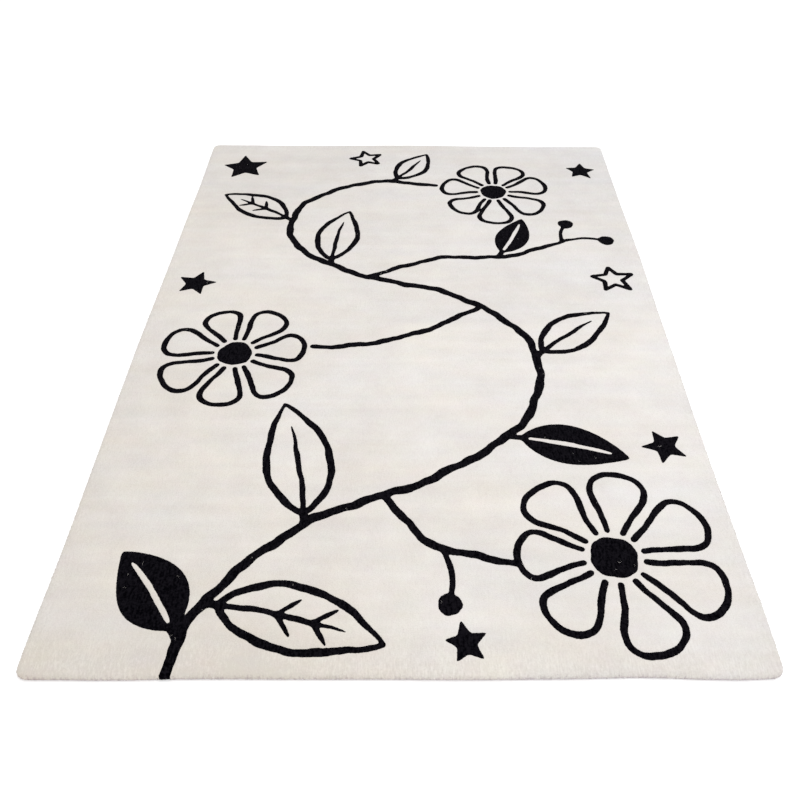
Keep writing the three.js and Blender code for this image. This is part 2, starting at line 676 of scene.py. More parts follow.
@dataclass
class InkField:
    """How far each place of the spread-out pile lies from the drawing: below 0 where it is black.

    The field is measured on a grid within a margin round each shape, and stands at far elsewhere.
    Shapes that meet get a soft fillet that reaches as far as the blend.
    """

    shapes: list[Mark | Blot]
    low: tuple[float, float]
    high: tuple[float, float]
    far: float = 0.06
    pitch: float = 0.0025
    blend: float = 0.005
    margin: float = 0.02

    def __post_init__(self) -> None:
        """Measures the shapes on a grid, in the order in which they are laid down."""
        self.corner = np.array(self.low, float)
        spans = (math.ceil((b - a) / self.pitch) for a, b in zip(self.low, self.high))
        self.shape = tuple(int(span) + 1 for span in spans)
        self.values = np.full(self.shape, self.far)
        for shape in self.shapes:
            self._lay(shape)

    def _lay(self, shape: Mark | Blot) -> None:
        """Adds a shape, with a soft fillet where it meets the others, or takes a bare mark away.

        Args:
            shape: The mark or the filled shape.
        """
        gap = np.full(self.shape, self.far)
        if isinstance(shape, Mark):
            self._measure_mark(shape, gap)
        else:
            self._measure_blot(shape, gap)
        if isinstance(shape, Mark) and shape.bare:
            self.values = np.maximum(self.values, -gap)
            return
        near = np.maximum(self.blend - np.abs(self.values - gap), 0) / self.blend
        self.values = np.minimum(self.values, gap) - near**2 * self.blend * 0.25

    def _window(self, low: Plan, high: Plan) -> tuple[tuple[slice, slice], Points]:
        """Picks the grid's nodes in a box.

        Args:
            low: The box's lowest corner.
            high: Its highest corner.

        Returns:
            The nodes' slices, and their places.
        """
        start = np.maximum(((low - self.margin - self.corner) / self.pitch).astype(int), 0)
        stop = ((high + self.margin - self.corner) / self.pitch).astype(int) + 2
        stop = np.minimum(stop, self.shape)
        axes = [self.corner[k] + self.pitch * np.arange(start[k], stop[k]) for k in (0, 1)]
        places = np.stack(np.meshgrid(*axes, indexing="ij"), -1)
        return (slice(start[0], stop[0]), slice(start[1], stop[1])), places

    def _measure_mark(self, mark: Mark, gap: np.ndarray) -> None:
        """Writes the distance to a mark into a grid.

        Args:
            mark: The mark.
            gap: The grid.
        """
        line, reach = mark.line, mark.reach
        if mark.closed:
            line, reach = np.vstack([line, line[:1]]), np.append(reach, reach[0])
        for a, b, wide_a, wide_b in zip(line, line[1:], reach, reach[1:]):
            wide = max(wide_a, wide_b)
            nodes, places = self._window(np.minimum(a, b) - wide, np.maximum(a, b) + wide)
            away, share = gap_to_span(places, a, b)
            gap[nodes] = np.minimum(gap[nodes], away - (wide_a + share * (wide_b - wide_a)))

    def _measure_blot(self, blot: Blot, gap: np.ndarray) -> None:
        """Writes the distance to a filled shape into a grid.

        Args:
            blot: The filled shape.
            gap: The grid.
        """
        nodes, places = self._window(blot.edge.min(0), blot.edge.max(0))
        away = np.full(places.shape[:2], np.inf)
        inside = np.zeros(places.shape[:2], bool)
        for a, b in zip(blot.edge, np.roll(blot.edge, -1, 0)):
            away = np.minimum(away, gap_to_span(places, a, b)[0])
            if a[1] == b[1]:
                continue
            crosses = (a[1] > places[..., 1]) != (b[1] > places[..., 1])
            where = a[0] + (places[..., 1] - a[1]) * (b[0] - a[0]) / (b[1] - a[1])
            inside ^= crosses & (places[..., 0] < where)
        gap[nodes] = np.where(inside, -away, away)

    def at(self, plan: Plan) -> np.ndarray:
        """Reads the field between its nodes.

        Args:
            plan: Places on the plan.

        Returns:
            The distance to the drawing at each place.
        """
        spot = (plan - self.corner) / self.pitch
        cell = np.clip(np.floor(spot).astype(int), 0, np.array(self.shape) - 2)
        share = np.clip(spot - cell, 0, 1)
        i, j = cell.T
        u, v = share.T
        near = (1 - u) * self.values[i, j] + u * self.values[i + 1, j]
        far = (1 - u) * self.values[i, j + 1] + u * self.values[i + 1, j + 1]
        return (1 - v) * near + v * far

    def edges(self, step: float, least: float) -> list[Plan]:
        """Follows the drawing's edges round.

        Args:
            step: About how far apart the points of an edge lie.
            least: The smallest area that an edge may enclose, in square metres.

        Returns:
            Closed lines, each anticlockwise.
        """
        links, places = self._crossings()
        loops = []
        while links:
            start, here = next(iter(links)), None
            loop = []
            while here != start:
                here = links.pop(start if here is None else here)
                loop.append(places[here])
            line = np.array(loop)
            after = np.roll(line, -1, 0)
            area = 0.5 * np.sum(line[:, 0] * after[:, 1] - after[:, 0] * line[:, 1])
            if abs(area) >= least:
                loops.append(evenly(line if area > 0 else line[::-1], step, closed=True))
        return loops

    def _crossings(self) -> tuple[dict, dict]:
        """Finds where the drawing's edge crosses the grid's lines.

        Returns:
            Each crossing's next one, with black on the left, and each crossing's place.
        """
        inside = self.values < 0
        corners = np.stack([inside[:-1, :-1], inside[1:, :-1], inside[1:, 1:], inside[:-1, 1:]], -1)
        mixed = np.argwhere(corners.any(-1) & ~corners.all(-1))
        offsets = ((0, 0), (1, 0), (1, 1), (0, 1))
        sides = ((0, 0, 0), (1, 0, 1), (0, 1, 0), (0, 0, 1))
        links, places = {}, {}
        for i, j in mixed.tolist():
            black = corners[i, j]
            for side in range(4):
                if not black[side] or black[(side + 1) % 4]:
                    continue
                other = side
                while black[other]:
                    other = (other - 1) % 4
                keys = []
                for k in (side, other):
                    di, dj, upright = sides[k]
                    key = (i + di, j + dj, upright)
                    if key not in places:
                        a = (i + offsets[k][0], j + offsets[k][1])
                        b = (i + offsets[(k + 1) % 4][0], j + offsets[(k + 1) % 4][1])
                        places[key] = self._crossing(a, b)
                    keys.append(key)
                links[keys[0]] = keys[1]
        return links, places

    def _crossing(self, a: tuple[int, int], b: tuple[int, int]) -> Plan:
        """Places the edge between two of the grid's nodes, one black and one not."""
        share = self.values[a] / (self.values[a] - self.values[b])
        return self.corner + self.pitch * (np.array(a) + share * (np.array(b) - np.array(a)))


def gap_to_span(places: Points, a: Plan, b: Plan) -> tuple[np.ndarray, np.ndarray]:
    """Measures how far places lie from a straight span.

    Args:
        places: The places.
        a: The span's start.
        b: The span's end.

    Returns:
        The distances, and how far along the span each place's nearest point lies.
    """
    step = b - a
    share = np.clip(((places - a) @ step) / max(step @ step, 1e-12), 0, 1)
    return np.linalg.norm(places - (a + share[..., None] * step), axis=-1), share


@dataclass
class Outline:
    """The rug's outline on the floor, anticlockwise, read from the foot of the construction model.

    The model's foot lies foot_inset inside its outline, and this outline is set back from the model's.
    """

    set_back: float = 0.0
    foot_inset: float = 0.0032
    step: float = 0.001
    rounding: float = 5.0

    def __post_init__(self) -> None:
        """Reads the outline."""
        points = np.array([v.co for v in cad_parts[RUG_NODE].data.vertices], float)
        low = points[:, 2].min()
        foot = np.unique(np.round(points[points[:, 2] < low + 1e-5, :2], 6), axis=0)
        middle = foot - 0.5 * (foot.min(0) + foot.max(0))
        foot = foot[np.argsort(np.arctan2(middle[:, 1], middle[:, 0]))]
        line = soften(evenly(foot, self.step, closed=True), self.rounding)
        self.line = line - left_of(line, closed=True) * (self.foot_inset - self.set_back)

    def inset(self, depth: float, step: float) -> Plan:
        """Gives the outline moved inwards.

        Args:
            depth: How far inwards. Below 0 it moves outwards.
            step: About how far apart the points lie.

        Returns:
            The moved outline.
        """
        moved = self.line + left_of(self.line, closed=True) * depth
        return evenly(moved, step, closed=True)


@dataclass(frozen=True)
class RimSection:
    """The rim's section: how the pile's skin rolls over from the top to the backing.

    Its knots say how far inside the outline the skin lies, and how high it stands there.
    """

    shoulder: float = 0.0140
    foot_inset: float = 0.0022
    foot_height: float = 0.0024

    def profile(self) -> tuple[np.ndarray, np.ndarray, np.ndarray]:
        """Measures the section.

        Returns:
            The length gone along the skin, how far inside the outline it is, and its height there.
        """
        knots = [
            (self.shoulder, THICKNESS),
            (0.0100, 0.0148),
            (0.0065, 0.0141),
            (0.0034, 0.0127),
            (0.0011, 0.0103),
            (0.0, 0.0072),
            (0.0006, 0.0046),
            (self.foot_inset, self.foot_height),
        ]
        line = smooth_path(knots, 0.0003)
        return lengths_along(line), line[:, 0], line[:, 1]


@dataclass
class PileForm:
    """The rug's form, on which the spread-out pile is laid.

    Places deeper than far_inside within the shoulder are all taken to lie that deep. The pile's
    unevenness is the size of each of its slow waves.
    """

    outline: Outline
    section: RimSection = RimSection()
    step: float = 0.0015
    far_inside: float = 0.03
    unevenness: float = 0.00008
    wave_count: int = 14
    wave_lengths: tuple[float, float] = (0.05, 0.16)
    seed: int = 5

    def __post_init__(self) -> None:
        """Reads the rim's section, the construction model, and how uneven the pile is."""
        self.gone, self.insets, self.heights = self.section.profile()
        self.reach = float(self.gone[-1])
        self.shoulder = self.outline.inset(self.section.shoulder, self.step)
        self.ways = -left_of(self.shoulder, closed=True)
        self.near = finder(self.shoulder)
        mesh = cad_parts[RUG_NODE].data
        self.solid = BVHTree.FromPolygons(
            [v.co for v in mesh.vertices], [p.vertices for p in mesh.polygons]
        )
        chance = np.random.default_rng(self.seed)
        self.waves = [
            (
                chance.uniform(0, 2 * math.pi),
                2 * math.pi / chance.uniform(*self.wave_lengths),
                chance.uniform(0, math.pi),
            )
            for _ in range(self.wave_count)
        ]

    def round(self, beyond: float, step: float) -> Plan:
        """Gives a closed line round the spread-out pile.

        Args:
            beyond: How far outside the shoulder it runs.
            step: About how far apart its points lie.

        Returns:
            The line's points.
        """
        return evenly(self.shoulder + self.ways * beyond, step, closed=True)

    def beyond(self, plan: Plan) -> tuple[np.ndarray, Plan, Plan]:
        """Measures how far places lie outside the shoulder.

        Args:
            plan: Places on the spread-out pile.

        Returns:
            The distances, below 0 inside, the shoulder's nearest points and the ways out from them.
        """
        low, high = self.shoulder.min(0) + self.far_inside, self.shoulder.max(0) - self.far_inside
        gone = np.full(len(plan), -self.far_inside)
        nearest, way = plan.copy(), np.zeros_like(plan)
        rim = np.flatnonzero(((plan < low) | (plan > high)).any(1))
        if not len(rim):
            return gone, nearest, way
        spots = plan[rim]
        index = nearest_numbers(self.near, spots)
        best = np.full(len(rim), np.inf)
        for first in (index - 1, index):
            a = self.shoulder[first % len(self.shoulder)]
            b = self.shoulder[(first + 1) % len(self.shoulder)]
            step = b - a
            share = np.clip(((spots - a) * step).sum(1) / (step * step).sum(1), 0, 1)
            foot = a + share[:, None] * step
            apart = np.linalg.norm(spots - foot, axis=1)
            outside = step[:, 0] * (spots - foot)[:, 1] - step[:, 1] * (spots - foot)[:, 0] < 0
            closer = apart < best
            best = np.where(closer, apart, best)
            gone[rim[closer]] = np.where(outside, apart, -apart)[closer]
            nearest[rim[closer]] = foot[closer]
        away = spots - nearest[rim]
        way[rim] = away / np.maximum(np.linalg.norm(away, axis=1, keepdims=True), 1e-9)
        return gone, nearest, way

    def at_foot(self, beyond: np.ndarray) -> np.ndarray:
        """Tells which distances beyond the shoulder lie at the skin's foot."""
        return beyond > self.reach - 0.1 * MILLIMETRE

    def gone_at(self, beyond: np.ndarray) -> np.ndarray:
        """Gives the length gone along the rim's section at distances beyond the shoulder."""
        return np.where(self.at_foot(beyond), self.reach, np.clip(beyond, 0, self.reach))

    def height_at(self, plan: Plan) -> np.ndarray:
        """Reads how high the construction model stands at places, and adds the pile's unevenness.

        Args:
            plan: Places on the plan.

        Returns:
            The heights.
        """
        down = Vector((0, 0, -1))
        heights = np.full(len(plan), THICKNESS)
        for index, (x, y) in enumerate(plan):
            hit = self.solid.ray_cast(Vector((x, y, 1)), down)[0]
            if hit is not None:
                heights[index] = hit.z
        uneven = sum(
            np.sin(pace * (plan[:, 0] * math.cos(turn) + plan[:, 1] * math.sin(turn)) + phase)
            for phase, pace, turn in self.waves
        )
        return heights + self.unevenness * uneven

    def skin(self, plan: Plan, sunk: np.ndarray | float = 0.0) -> tuple[Points, Points]:
        """Lays places of the spread-out pile on the rug.

        Args:
            plan: The places.
            sunk: How far under the skin they lie.

        Returns:
            The points in space, and the skin's outward directions there.
        """
        beyond, nearest, way = self.beyond(plan)
        folded = beyond > 0
        gone = self.gone_at(beyond)
        out = self.section.shoulder - np.interp(gone, self.gone, self.insets)
        height = np.interp(gone, self.gone, self.heights)
        spot = np.where(folded[:, None], nearest + way * out[:, None], plan)
        top = self.height_at(np.where(folded[:, None], nearest, plan))
        foot = self.section.foot_height
        height = foot + (height - foot) * (top - foot) / (THICKNESS - foot)
        slope_out = np.interp(gone, self.gone, -np.gradient(self.insets, self.gone))
        slope_up = np.interp(gone, self.gone, np.gradient(self.heights, self.gone))
        facing = np.column_stack([way * -slope_up[:, None], slope_out])
        facing[~folded] = (0, 0, 1)
        facing /= np.maximum(np.linalg.norm(facing, axis=1, keepdims=True), 1e-9)
        points = np.column_stack([spot, height])
        return points - facing * np.broadcast_to(sunk, len(plan))[:, None], facing

    def base(self, plan: Plan) -> Points:
        """Gives the points of the backing's upper side that lie under places of the spread-out pile.

        Args:
            plan: The places.

        Returns:
            The points.
        """
        beyond, nearest, way = self.beyond(plan)
        gone = self.gone_at(beyond)
        out = (self.section.shoulder - self.section.foot_inset) * gone / self.reach
        spot = np.where((beyond > 0)[:, None], nearest + way * out[:, None], plan)
        return np.column_stack([spot, np.full(len(plan), self.section.foot_height)])


@dataclass(frozen=True)
class Patchwork:
    """The spread-out pile cut into triangles along the drawing's edges."""

    plan: Plan
    faces: np.ndarray
    black: np.ndarray

    @classmethod
    def cut(cls, rim: Plan, edges: list[Plan], loose: Plan) -> "Patchwork":
        """Cuts the pile.

        Args:
            rim: The edge of the spread-out pile.
            edges: The drawing's edges.
            loose: Further points to join.

        Returns:
            The triangles inside the rim, each wholly black or wholly ivory.
        """
        loops = [rim, *edges]
        starts = np.concatenate([[0], np.cumsum([len(loop) for loop in loops])])
        outlines = [list(range(a, b)) for a, b in zip(starts, starts[1:])]
        spots = [Vector(p) for p in np.vstack([*loops, loose])]
        found = delaunay_2d_cdt(spots, [], outlines, CDT_INSIDE, CDT_GAP)
        plan = np.array([tuple(v) for v in found[0]], float)
        kept = [(face, len(held) - 1) for face, held in zip(found[2], found[5]) if 0 in held]
        faces = np.array([face for face, _ in kept])
        corners = plan[faces]
        one, two = corners[:, 1] - corners[:, 0], corners[:, 2] - corners[:, 0]
        turned = one[:, 0] * two[:, 1] - one[:, 1] * two[:, 0] < 0
        faces[turned] = faces[turned][:, ::-1]
        return cls(plan, faces, np.array([count % 2 == 1 for _, count in kept]))

    def rim_of(self, faces: np.ndarray) -> np.ndarray:
        """Finds the border of some of the triangles.

        Args:
            faces: The triangles.

        Returns:
            Pairs of point numbers, with the triangles on their left.
        """
        pairs = np.vstack([faces[:, [0, 1]], faces[:, [1, 2]], faces[:, [2, 0]]])
        count = len(self.plan)
        codes = pairs[:, 0] * count + pairs[:, 1]
        back = pairs[:, 1] * count + pairs[:, 0]
        return pairs[~np.isin(codes, back)]


@dataclass(frozen=True)
class Carving:
    """The shallow line cut along the drawing's edges: how deep it is, and how far it reaches."""

    depth: float = 0.0010
    reach: float = 0.0030

    def depth_at(self, gap: np.ndarray) -> np.ndarray:
        """Gives the carving's depth at distances from an edge."""
        share = np.clip(np.abs(gap) / self.reach, 0, 1)
        return self.depth * (1 - share * share * (3 - 2 * share))


@dataclass
class Pile:
    """The ivory ground and the black drawing, as two fitted pieces of one pile.

    The drawing's edges are ragged by a share of a tuft. The pile's points lie beside them, on lines
    round the rim, and on a loose grid of triangles in between, clear of each other by given gaps.
    The carved line fades out towards the foot.
    """

    form: PileForm
    ink: InkField
    carving: Carving = Carving()
    seed: int = 21
    edge_step: float = 0.003
    least_area: float = 6e-5
    ragged: float = 0.0004
    rim_step: float = 0.0045
    beside: float = 0.0024
    clear_of_edge: tuple[float, float] = (0.0016, 0.0034)
    round_step: float = 0.006
    round_pitch: float = 0.0034
    round_clear: float = 0.0045
    first_round: tuple[float, float] = (-0.007, 0.009)
    grid: float = 0.0125
    grid_stray: float = 0.2
    grid_clear: float = 0.0065
    grid_inside: float = 0.013
    inside_rim: float = 0.0015
    fading: float = 0.004

    def __post_init__(self) -> None:
        """Cuts the pile into its two colours."""
        self.chance = np.random.default_rng(self.seed)
        self.rim = self.form.round(self.form.reach, self.rim_step)
        self.clean_edges = self.ink.edges(self.edge_step, self.least_area)
        self.edges = [self._ragged(edge) for edge in self.clean_edges]
        self.fine = Patchwork.cut(self.rim, self.edges, self._infill())
        self.coarse = Patchwork.cut(self.rim, self.edges, np.zeros((0, 2)))

    def _ragged(self, edge: Plan) -> Plan:
        """Makes an edge step in and out by a share of a tuft."""
        stray = self.chance.uniform(-self.ragged, self.ragged, len(edge))
        return edge + left_of(edge, closed=True) * stray[:, None]

    def _infill(self) -> Plan:
        """Scatters points over the pile: beside the drawing's edges, round the rim, and between.

        Returns:
            The points.
        """
        beside = []
        for edge in self.edges:
            middle = 0.5 * (edge + np.roll(edge, -1, 0))
            ways = left_of(middle, closed=True)
            beside += [middle + ways * self.beside, middle - ways * self.beside]
        beside = np.vstack(beside)
        gap = np.abs(self.ink.at(beside))
        beside = beside[(gap > self.clear_of_edge[0]) & (gap < self.clear_of_edge[1])]
        depths = np.arange(0, self.form.reach - 2 * MILLIMETRE, self.round_pitch)
        rounds = [self.form.round(beyond, self.round_step) for beyond in depths]
        rounds = np.vstack([self.form.round(*self.first_round), *rounds])
        rounds = rounds[np.abs(self.ink.at(rounds)) > self.round_clear]
        low, high = self.rim.min(0), self.rim.max(0)
        rows = np.arange(low[1], high[1], self.grid * math.sqrt(0.75))
        grid = []
        for index, y in enumerate(rows):
            x = np.arange(low[0] + (index % 2) * 0.5 * self.grid, high[0], self.grid)
            grid.append(np.column_stack([x, np.full(len(x), y)]))
        grid = np.vstack(grid)
        grid = grid + self.chance.uniform(-self.grid_stray, self.grid_stray, grid.shape) * self.grid
        grid = grid[np.abs(self.ink.at(grid)) > self.grid_clear]
        grid = grid[self.form.beyond(grid)[0] < -self.grid_inside]
        inner = np.vstack([beside, rounds])
        inner = inner[self.form.beyond(inner)[0] < self.form.reach - self.inside_rim]
        return np.vstack([inner, grid])

    def piece(self, name: str, black: bool, wool: bpy.types.Material) -> bpy.types.Object:
        """Builds one colour of the pile as a closed body.

        Args:
            name: The piece's name.
            black: Whether it is the black drawing or the ivory ground.
            wool: Its finish.

        Returns:
            The piece.
        """
        top_faces = self.fine.faces[self.fine.black == black]
        low_faces = self.coarse.faces[self.coarse.black == black]
        sunk = self.carving.depth_at(self.ink.at(self.fine.plan))
        beyond = self.form.beyond(self.fine.plan)[0]
        fading = np.clip((self.form.reach - beyond) / self.fading, 0, 1)
        tops = self.form.skin(self.fine.plan, sunk * fading)[0]
        fine_base = self.form.base(self.fine.plan)
        low_base = self.form.base(self.coarse.plan)
        count = len(self.fine.plan)
        border = self.fine.rim_of(top_faces)
        at_rim = self.form.at_foot(beyond)
        border = border[~(at_rim[border[:, 0]] & at_rim[border[:, 1]])]
        a, b = border.T
        walls = np.column_stack([a, a + count, b + count, b])
        base = low_faces[:, ::-1] + 2 * count
        points = np.vstack([tops, fine_base, low_base])
        plan = np.vstack([self.fine.plan, self.fine.plan, self.coarse.plan])
        faces = [*top_faces.tolist(), *walls.tolist(), *base.tolist()]
        sheets = [0] * len(top_faces) + [1] * len(walls) + [2] * len(base)
        piece = mesh_object(name, points, faces, wool)
        self._map(piece, plan, sheets)
        weld(piece)
        return piece

    def _map(self, piece: bpy.types.Object, plan: Plan, sheets: list[int]) -> None:
        """Spreads the piece's skin over most of its texture map, and puts the hidden sides beside it.

        Each strip of the map has its lowest corner and its scale.

        Args:
            piece: The piece.
            plan: Where each of its points lies on the spread-out pile.
            sheets: Whether each face is skin (0), a wall (1) or the base (2).
        """
        low = self.rim.min(0)
        size = float((self.rim.max(0) - low)[1])
        flat = (plan - low) / size
        strips = ((0.0, 0.0, 1.0), (0.71, 0.42, 0.38), (0.71, 0.0, 0.38))
        layer = piece.data.uv_layers.new(name="OFBake")
        corners = np.zeros(len(piece.data.loops), int)
        piece.data.loops.foreach_get("vertex_index", corners)
        sheet_of = np.repeat(sheets, [p.loop_total for p in piece.data.polygons])
        shift = np.array(strips)[sheet_of]
        spread = flat[corners] * shift[:, 2:] + shift[:, :2]
        layer.uv.foreach_set("vector", spread.astype(np.float32).ravel())


def mesh_object(
    name: str, points: Points, faces: list, material: bpy.types.Material | None
) -> bpy.types.Object:
    """Makes a smooth mesh.

    Args:
        name: The object's name.
        points: Its points.
        faces: Its faces, as lists of point numbers.
        material: Its finish, if it has one.

    Returns:
        The object, linked into the scene.
    """
    mesh = bpy.data.meshes.new(name)
    mesh.from_pydata(np.asarray(points).tolist(), [], faces)
    mesh.polygons.foreach_set("use_smooth", [True] * len(mesh.polygons))
    if material is not None:
        mesh.materials.append(material)
    return linked(bpy.data.objects.new(name, mesh))


def ring_walls(rings: int, count: int) -> list[list[int]]:
    """Lists the faces between rings of points that follow one another.

    Args:
        rings: How many rings there are.
        count: How many points each ring has.

    Returns:
        The faces, as lists of point numbers.
    """
    faces = []
    for low in range(0, (rings - 1) * count, count):
        for k in range(count):
            after = (k + 1) % count
            faces.append([low + k, low + after, low + count + after, low + count + k])
    return faces


def linked(thing: bpy.types.Object) -> bpy.types.Object:
    """Links an object into the scene and returns it."""
    bpy.context.scene.collection.objects.link(thing)
    return thing


def weld(piece: bpy.types.Object) -> None:
    """Joins points that lie together, drops loose ones and keeps hard edges sharp.

    Args:
        piece: The piece.
    """
    shape = bmesh.new()
    shape.from_mesh(piece.data)
    bmesh.ops.remove_doubles(shape, verts=shape.verts, dist=WELD_GAP)
    loose = [v for v in shape.verts if not v.link_faces]
    bmesh.ops.delete(shape, geom=loose, context="VERTS")
    shape.to_mesh(piece.data)
    shape.free()
    piece.data.set_sharp_from_angle(angle=SHARP_ANGLE)
    piece.data.update()


class Wiring:
    """Adds nodes to a tree and joins their sockets."""

    def __init__(self, tree: bpy.types.NodeTree) -> None:
        """Takes the tree that it works on."""
        self.tree = tree

    @classmethod
    def group(cls, name: str, kind: str, takes: tuple, gives: tuple) -> tuple["Wiring", object]:
        """Starts a node group.

        Args:
            name: Its name.
            kind: The type of its tree.
            takes: The name, type and usual value of each input.
            gives: The name and type of each output.

        Returns:
            The wiring of its tree, and the sockets that bring its inputs.
        """
        wire = cls(bpy.data.node_groups.new(name, kind))
        sockets = wire.tree.interface
        for title, sort, value in takes:
            made = sockets.new_socket(name=title, in_out="INPUT", socket_type=sort)
            if value is not None:
                made.default_value = value
        for title, sort in gives:
            sockets.new_socket(name=title, in_out="OUTPUT", socket_type=sort)
        return wire, wire.add("NodeGroupInput").outputs

    def add(self, kind: str, inputs: dict | None = None, **settings: object) -> bpy.types.Node:
        """Adds a node.

        Args:
            kind: The node's type.
            inputs: What goes into its sockets, by name or number: another socket, or a value.
            settings: The node's own settings.

        Returns:
            The node.
        """
        node = self.tree.nodes.new(kind)
        for name, value in settings.items():
            setattr(node, name, value)
        for key, value in (inputs or {}).items():
            if isinstance(value, bpy.types.NodeSocket):
                self.tree.links.new(value, node.inputs[key])
            else:
                node.inputs[key].default_value = value
        return node

    def math(self, operation: str, *values: object) -> Socket:
        """Adds a Math node and returns its result."""
        made = self.add("ShaderNodeMath", dict(enumerate(values)), operation=operation)
        return made.outputs[0]

    def vector(self, operation: str, *values: object) -> Socket:
        """Adds a Vector Math node and returns its vector."""
        made = self.add("ShaderNodeVectorMath", dict(enumerate(values)), operation=operation)
        return made.outputs[0]

    def mix(self, share: Socket, first: Triple, second: Triple) -> Socket:
        """Mixes two colours and returns the mixture."""
        inputs = {"Factor": share, "A": (*first, 1.0), "B": (*second, 1.0)}
        return self.add("ShaderNodeMix", inputs, data_type="RGBA").outputs["Result"]

    def rise(self, value: Socket, start: float, stop: float) -> Socket:
        """Returns a share that rises softly from 0 where a value is at its start to 1 at its stop."""
        inputs = {"Value": value, "From Min": start, "From Max": stop}
        return self.add("ShaderNodeMapRange", inputs, interpolation_type="SMOOTHSTEP").outputs[0]

    def noise(self, vector: Socket, scale: float, detail: float, roughness: float) -> Socket:
        """Adds a noise texture and returns its value, which is 0.5 on average."""
        inputs = {"Vector": vector, "Scale": scale, "Detail": detail, "Roughness": roughness}
        return self.add("ShaderNodeTexNoise", inputs).outputs[0]


@dataclass(frozen=True)
class Strand:
    """A strand of wool.

    Its middle line is given outwards, aside and up. The line and the radii along it are in
    millimetres, and the turn of its section is a share of one of the section's sides.
    """

    name: str
    line: tuple[tuple[float, float, float], ...]
    radii: tuple[float, ...]
    sides: int
    turn: float = 0.0

    def build(self) -> bpy.types.Object:
        """Makes the strand as a small closed mesh.

        Returns:
            The strand, which lies at the origin.
        """
        line = np.array(self.line) * MILLIMETRE
        ways = np.gradient(line, axis=0)
        ways /= np.linalg.norm(ways, axis=1, keepdims=True)
        aside = np.linalg.svd(line - line.mean(0))[2][-1]
        over = np.cross(ways, aside)
        angle = (np.arange(self.sides) + self.turn) * 2 * math.pi / self.sides
        spokes = np.cos(angle)[None, :, None] * over[:, None] + np.sin(angle)[None, :, None] * aside
        radii = np.array(self.radii)[:, None, None] * MILLIMETRE
        points = (line[:, None] + radii * spokes).reshape(-1, 3)
        last = (len(line) - 1) * self.sides
        faces = [list(range(self.sides)), [last + k for k in range(self.sides)]]
        faces += ring_walls(len(line), self.sides)
        strand = mesh_object(self.name, points, faces, None)
        shape = bmesh.new()
        shape.from_mesh(strand.data)
        bmesh.ops.recalc_face_normals(shape, faces=shape.faces)
        shape.to_mesh(strand.data)
        shape.free()
        return strand


@dataclass(frozen=True)
class StrandPath:
    """A line in space along which strands are set, with their upright and outward directions."""

    points: Points
    upright: Points
    outward: Points
    closed: bool

    @classmethod
    def runs(
        cls, points: Points, upright: Points, outward: Points, wanted: np.ndarray
    ) -> list["StrandPath"]:
        """Cuts a closed line into paths.

        Args:
            points: The line's points.
            upright: The direction in which a strand stands at each point.
            outward: The direction that it faces there.
            wanted: Whether the point belongs to a path.

        Returns:
            The paths of three points or more.
        """
        return [
            cls(points[run], upright[run], outward[run], len(run) == len(points))
            for run in runs_of(wanted)
            if len(run) > 2
        ]


@dataclass(frozen=True)
class Setting:
    """How strands are set: how close, and how far their turns, sizes and places stray."""

    spacing: float
    turn_spread: Triple
    size_spread: Triple
    seed: int
    place_spread: Triple = (0.0, 0.0, 0.0)


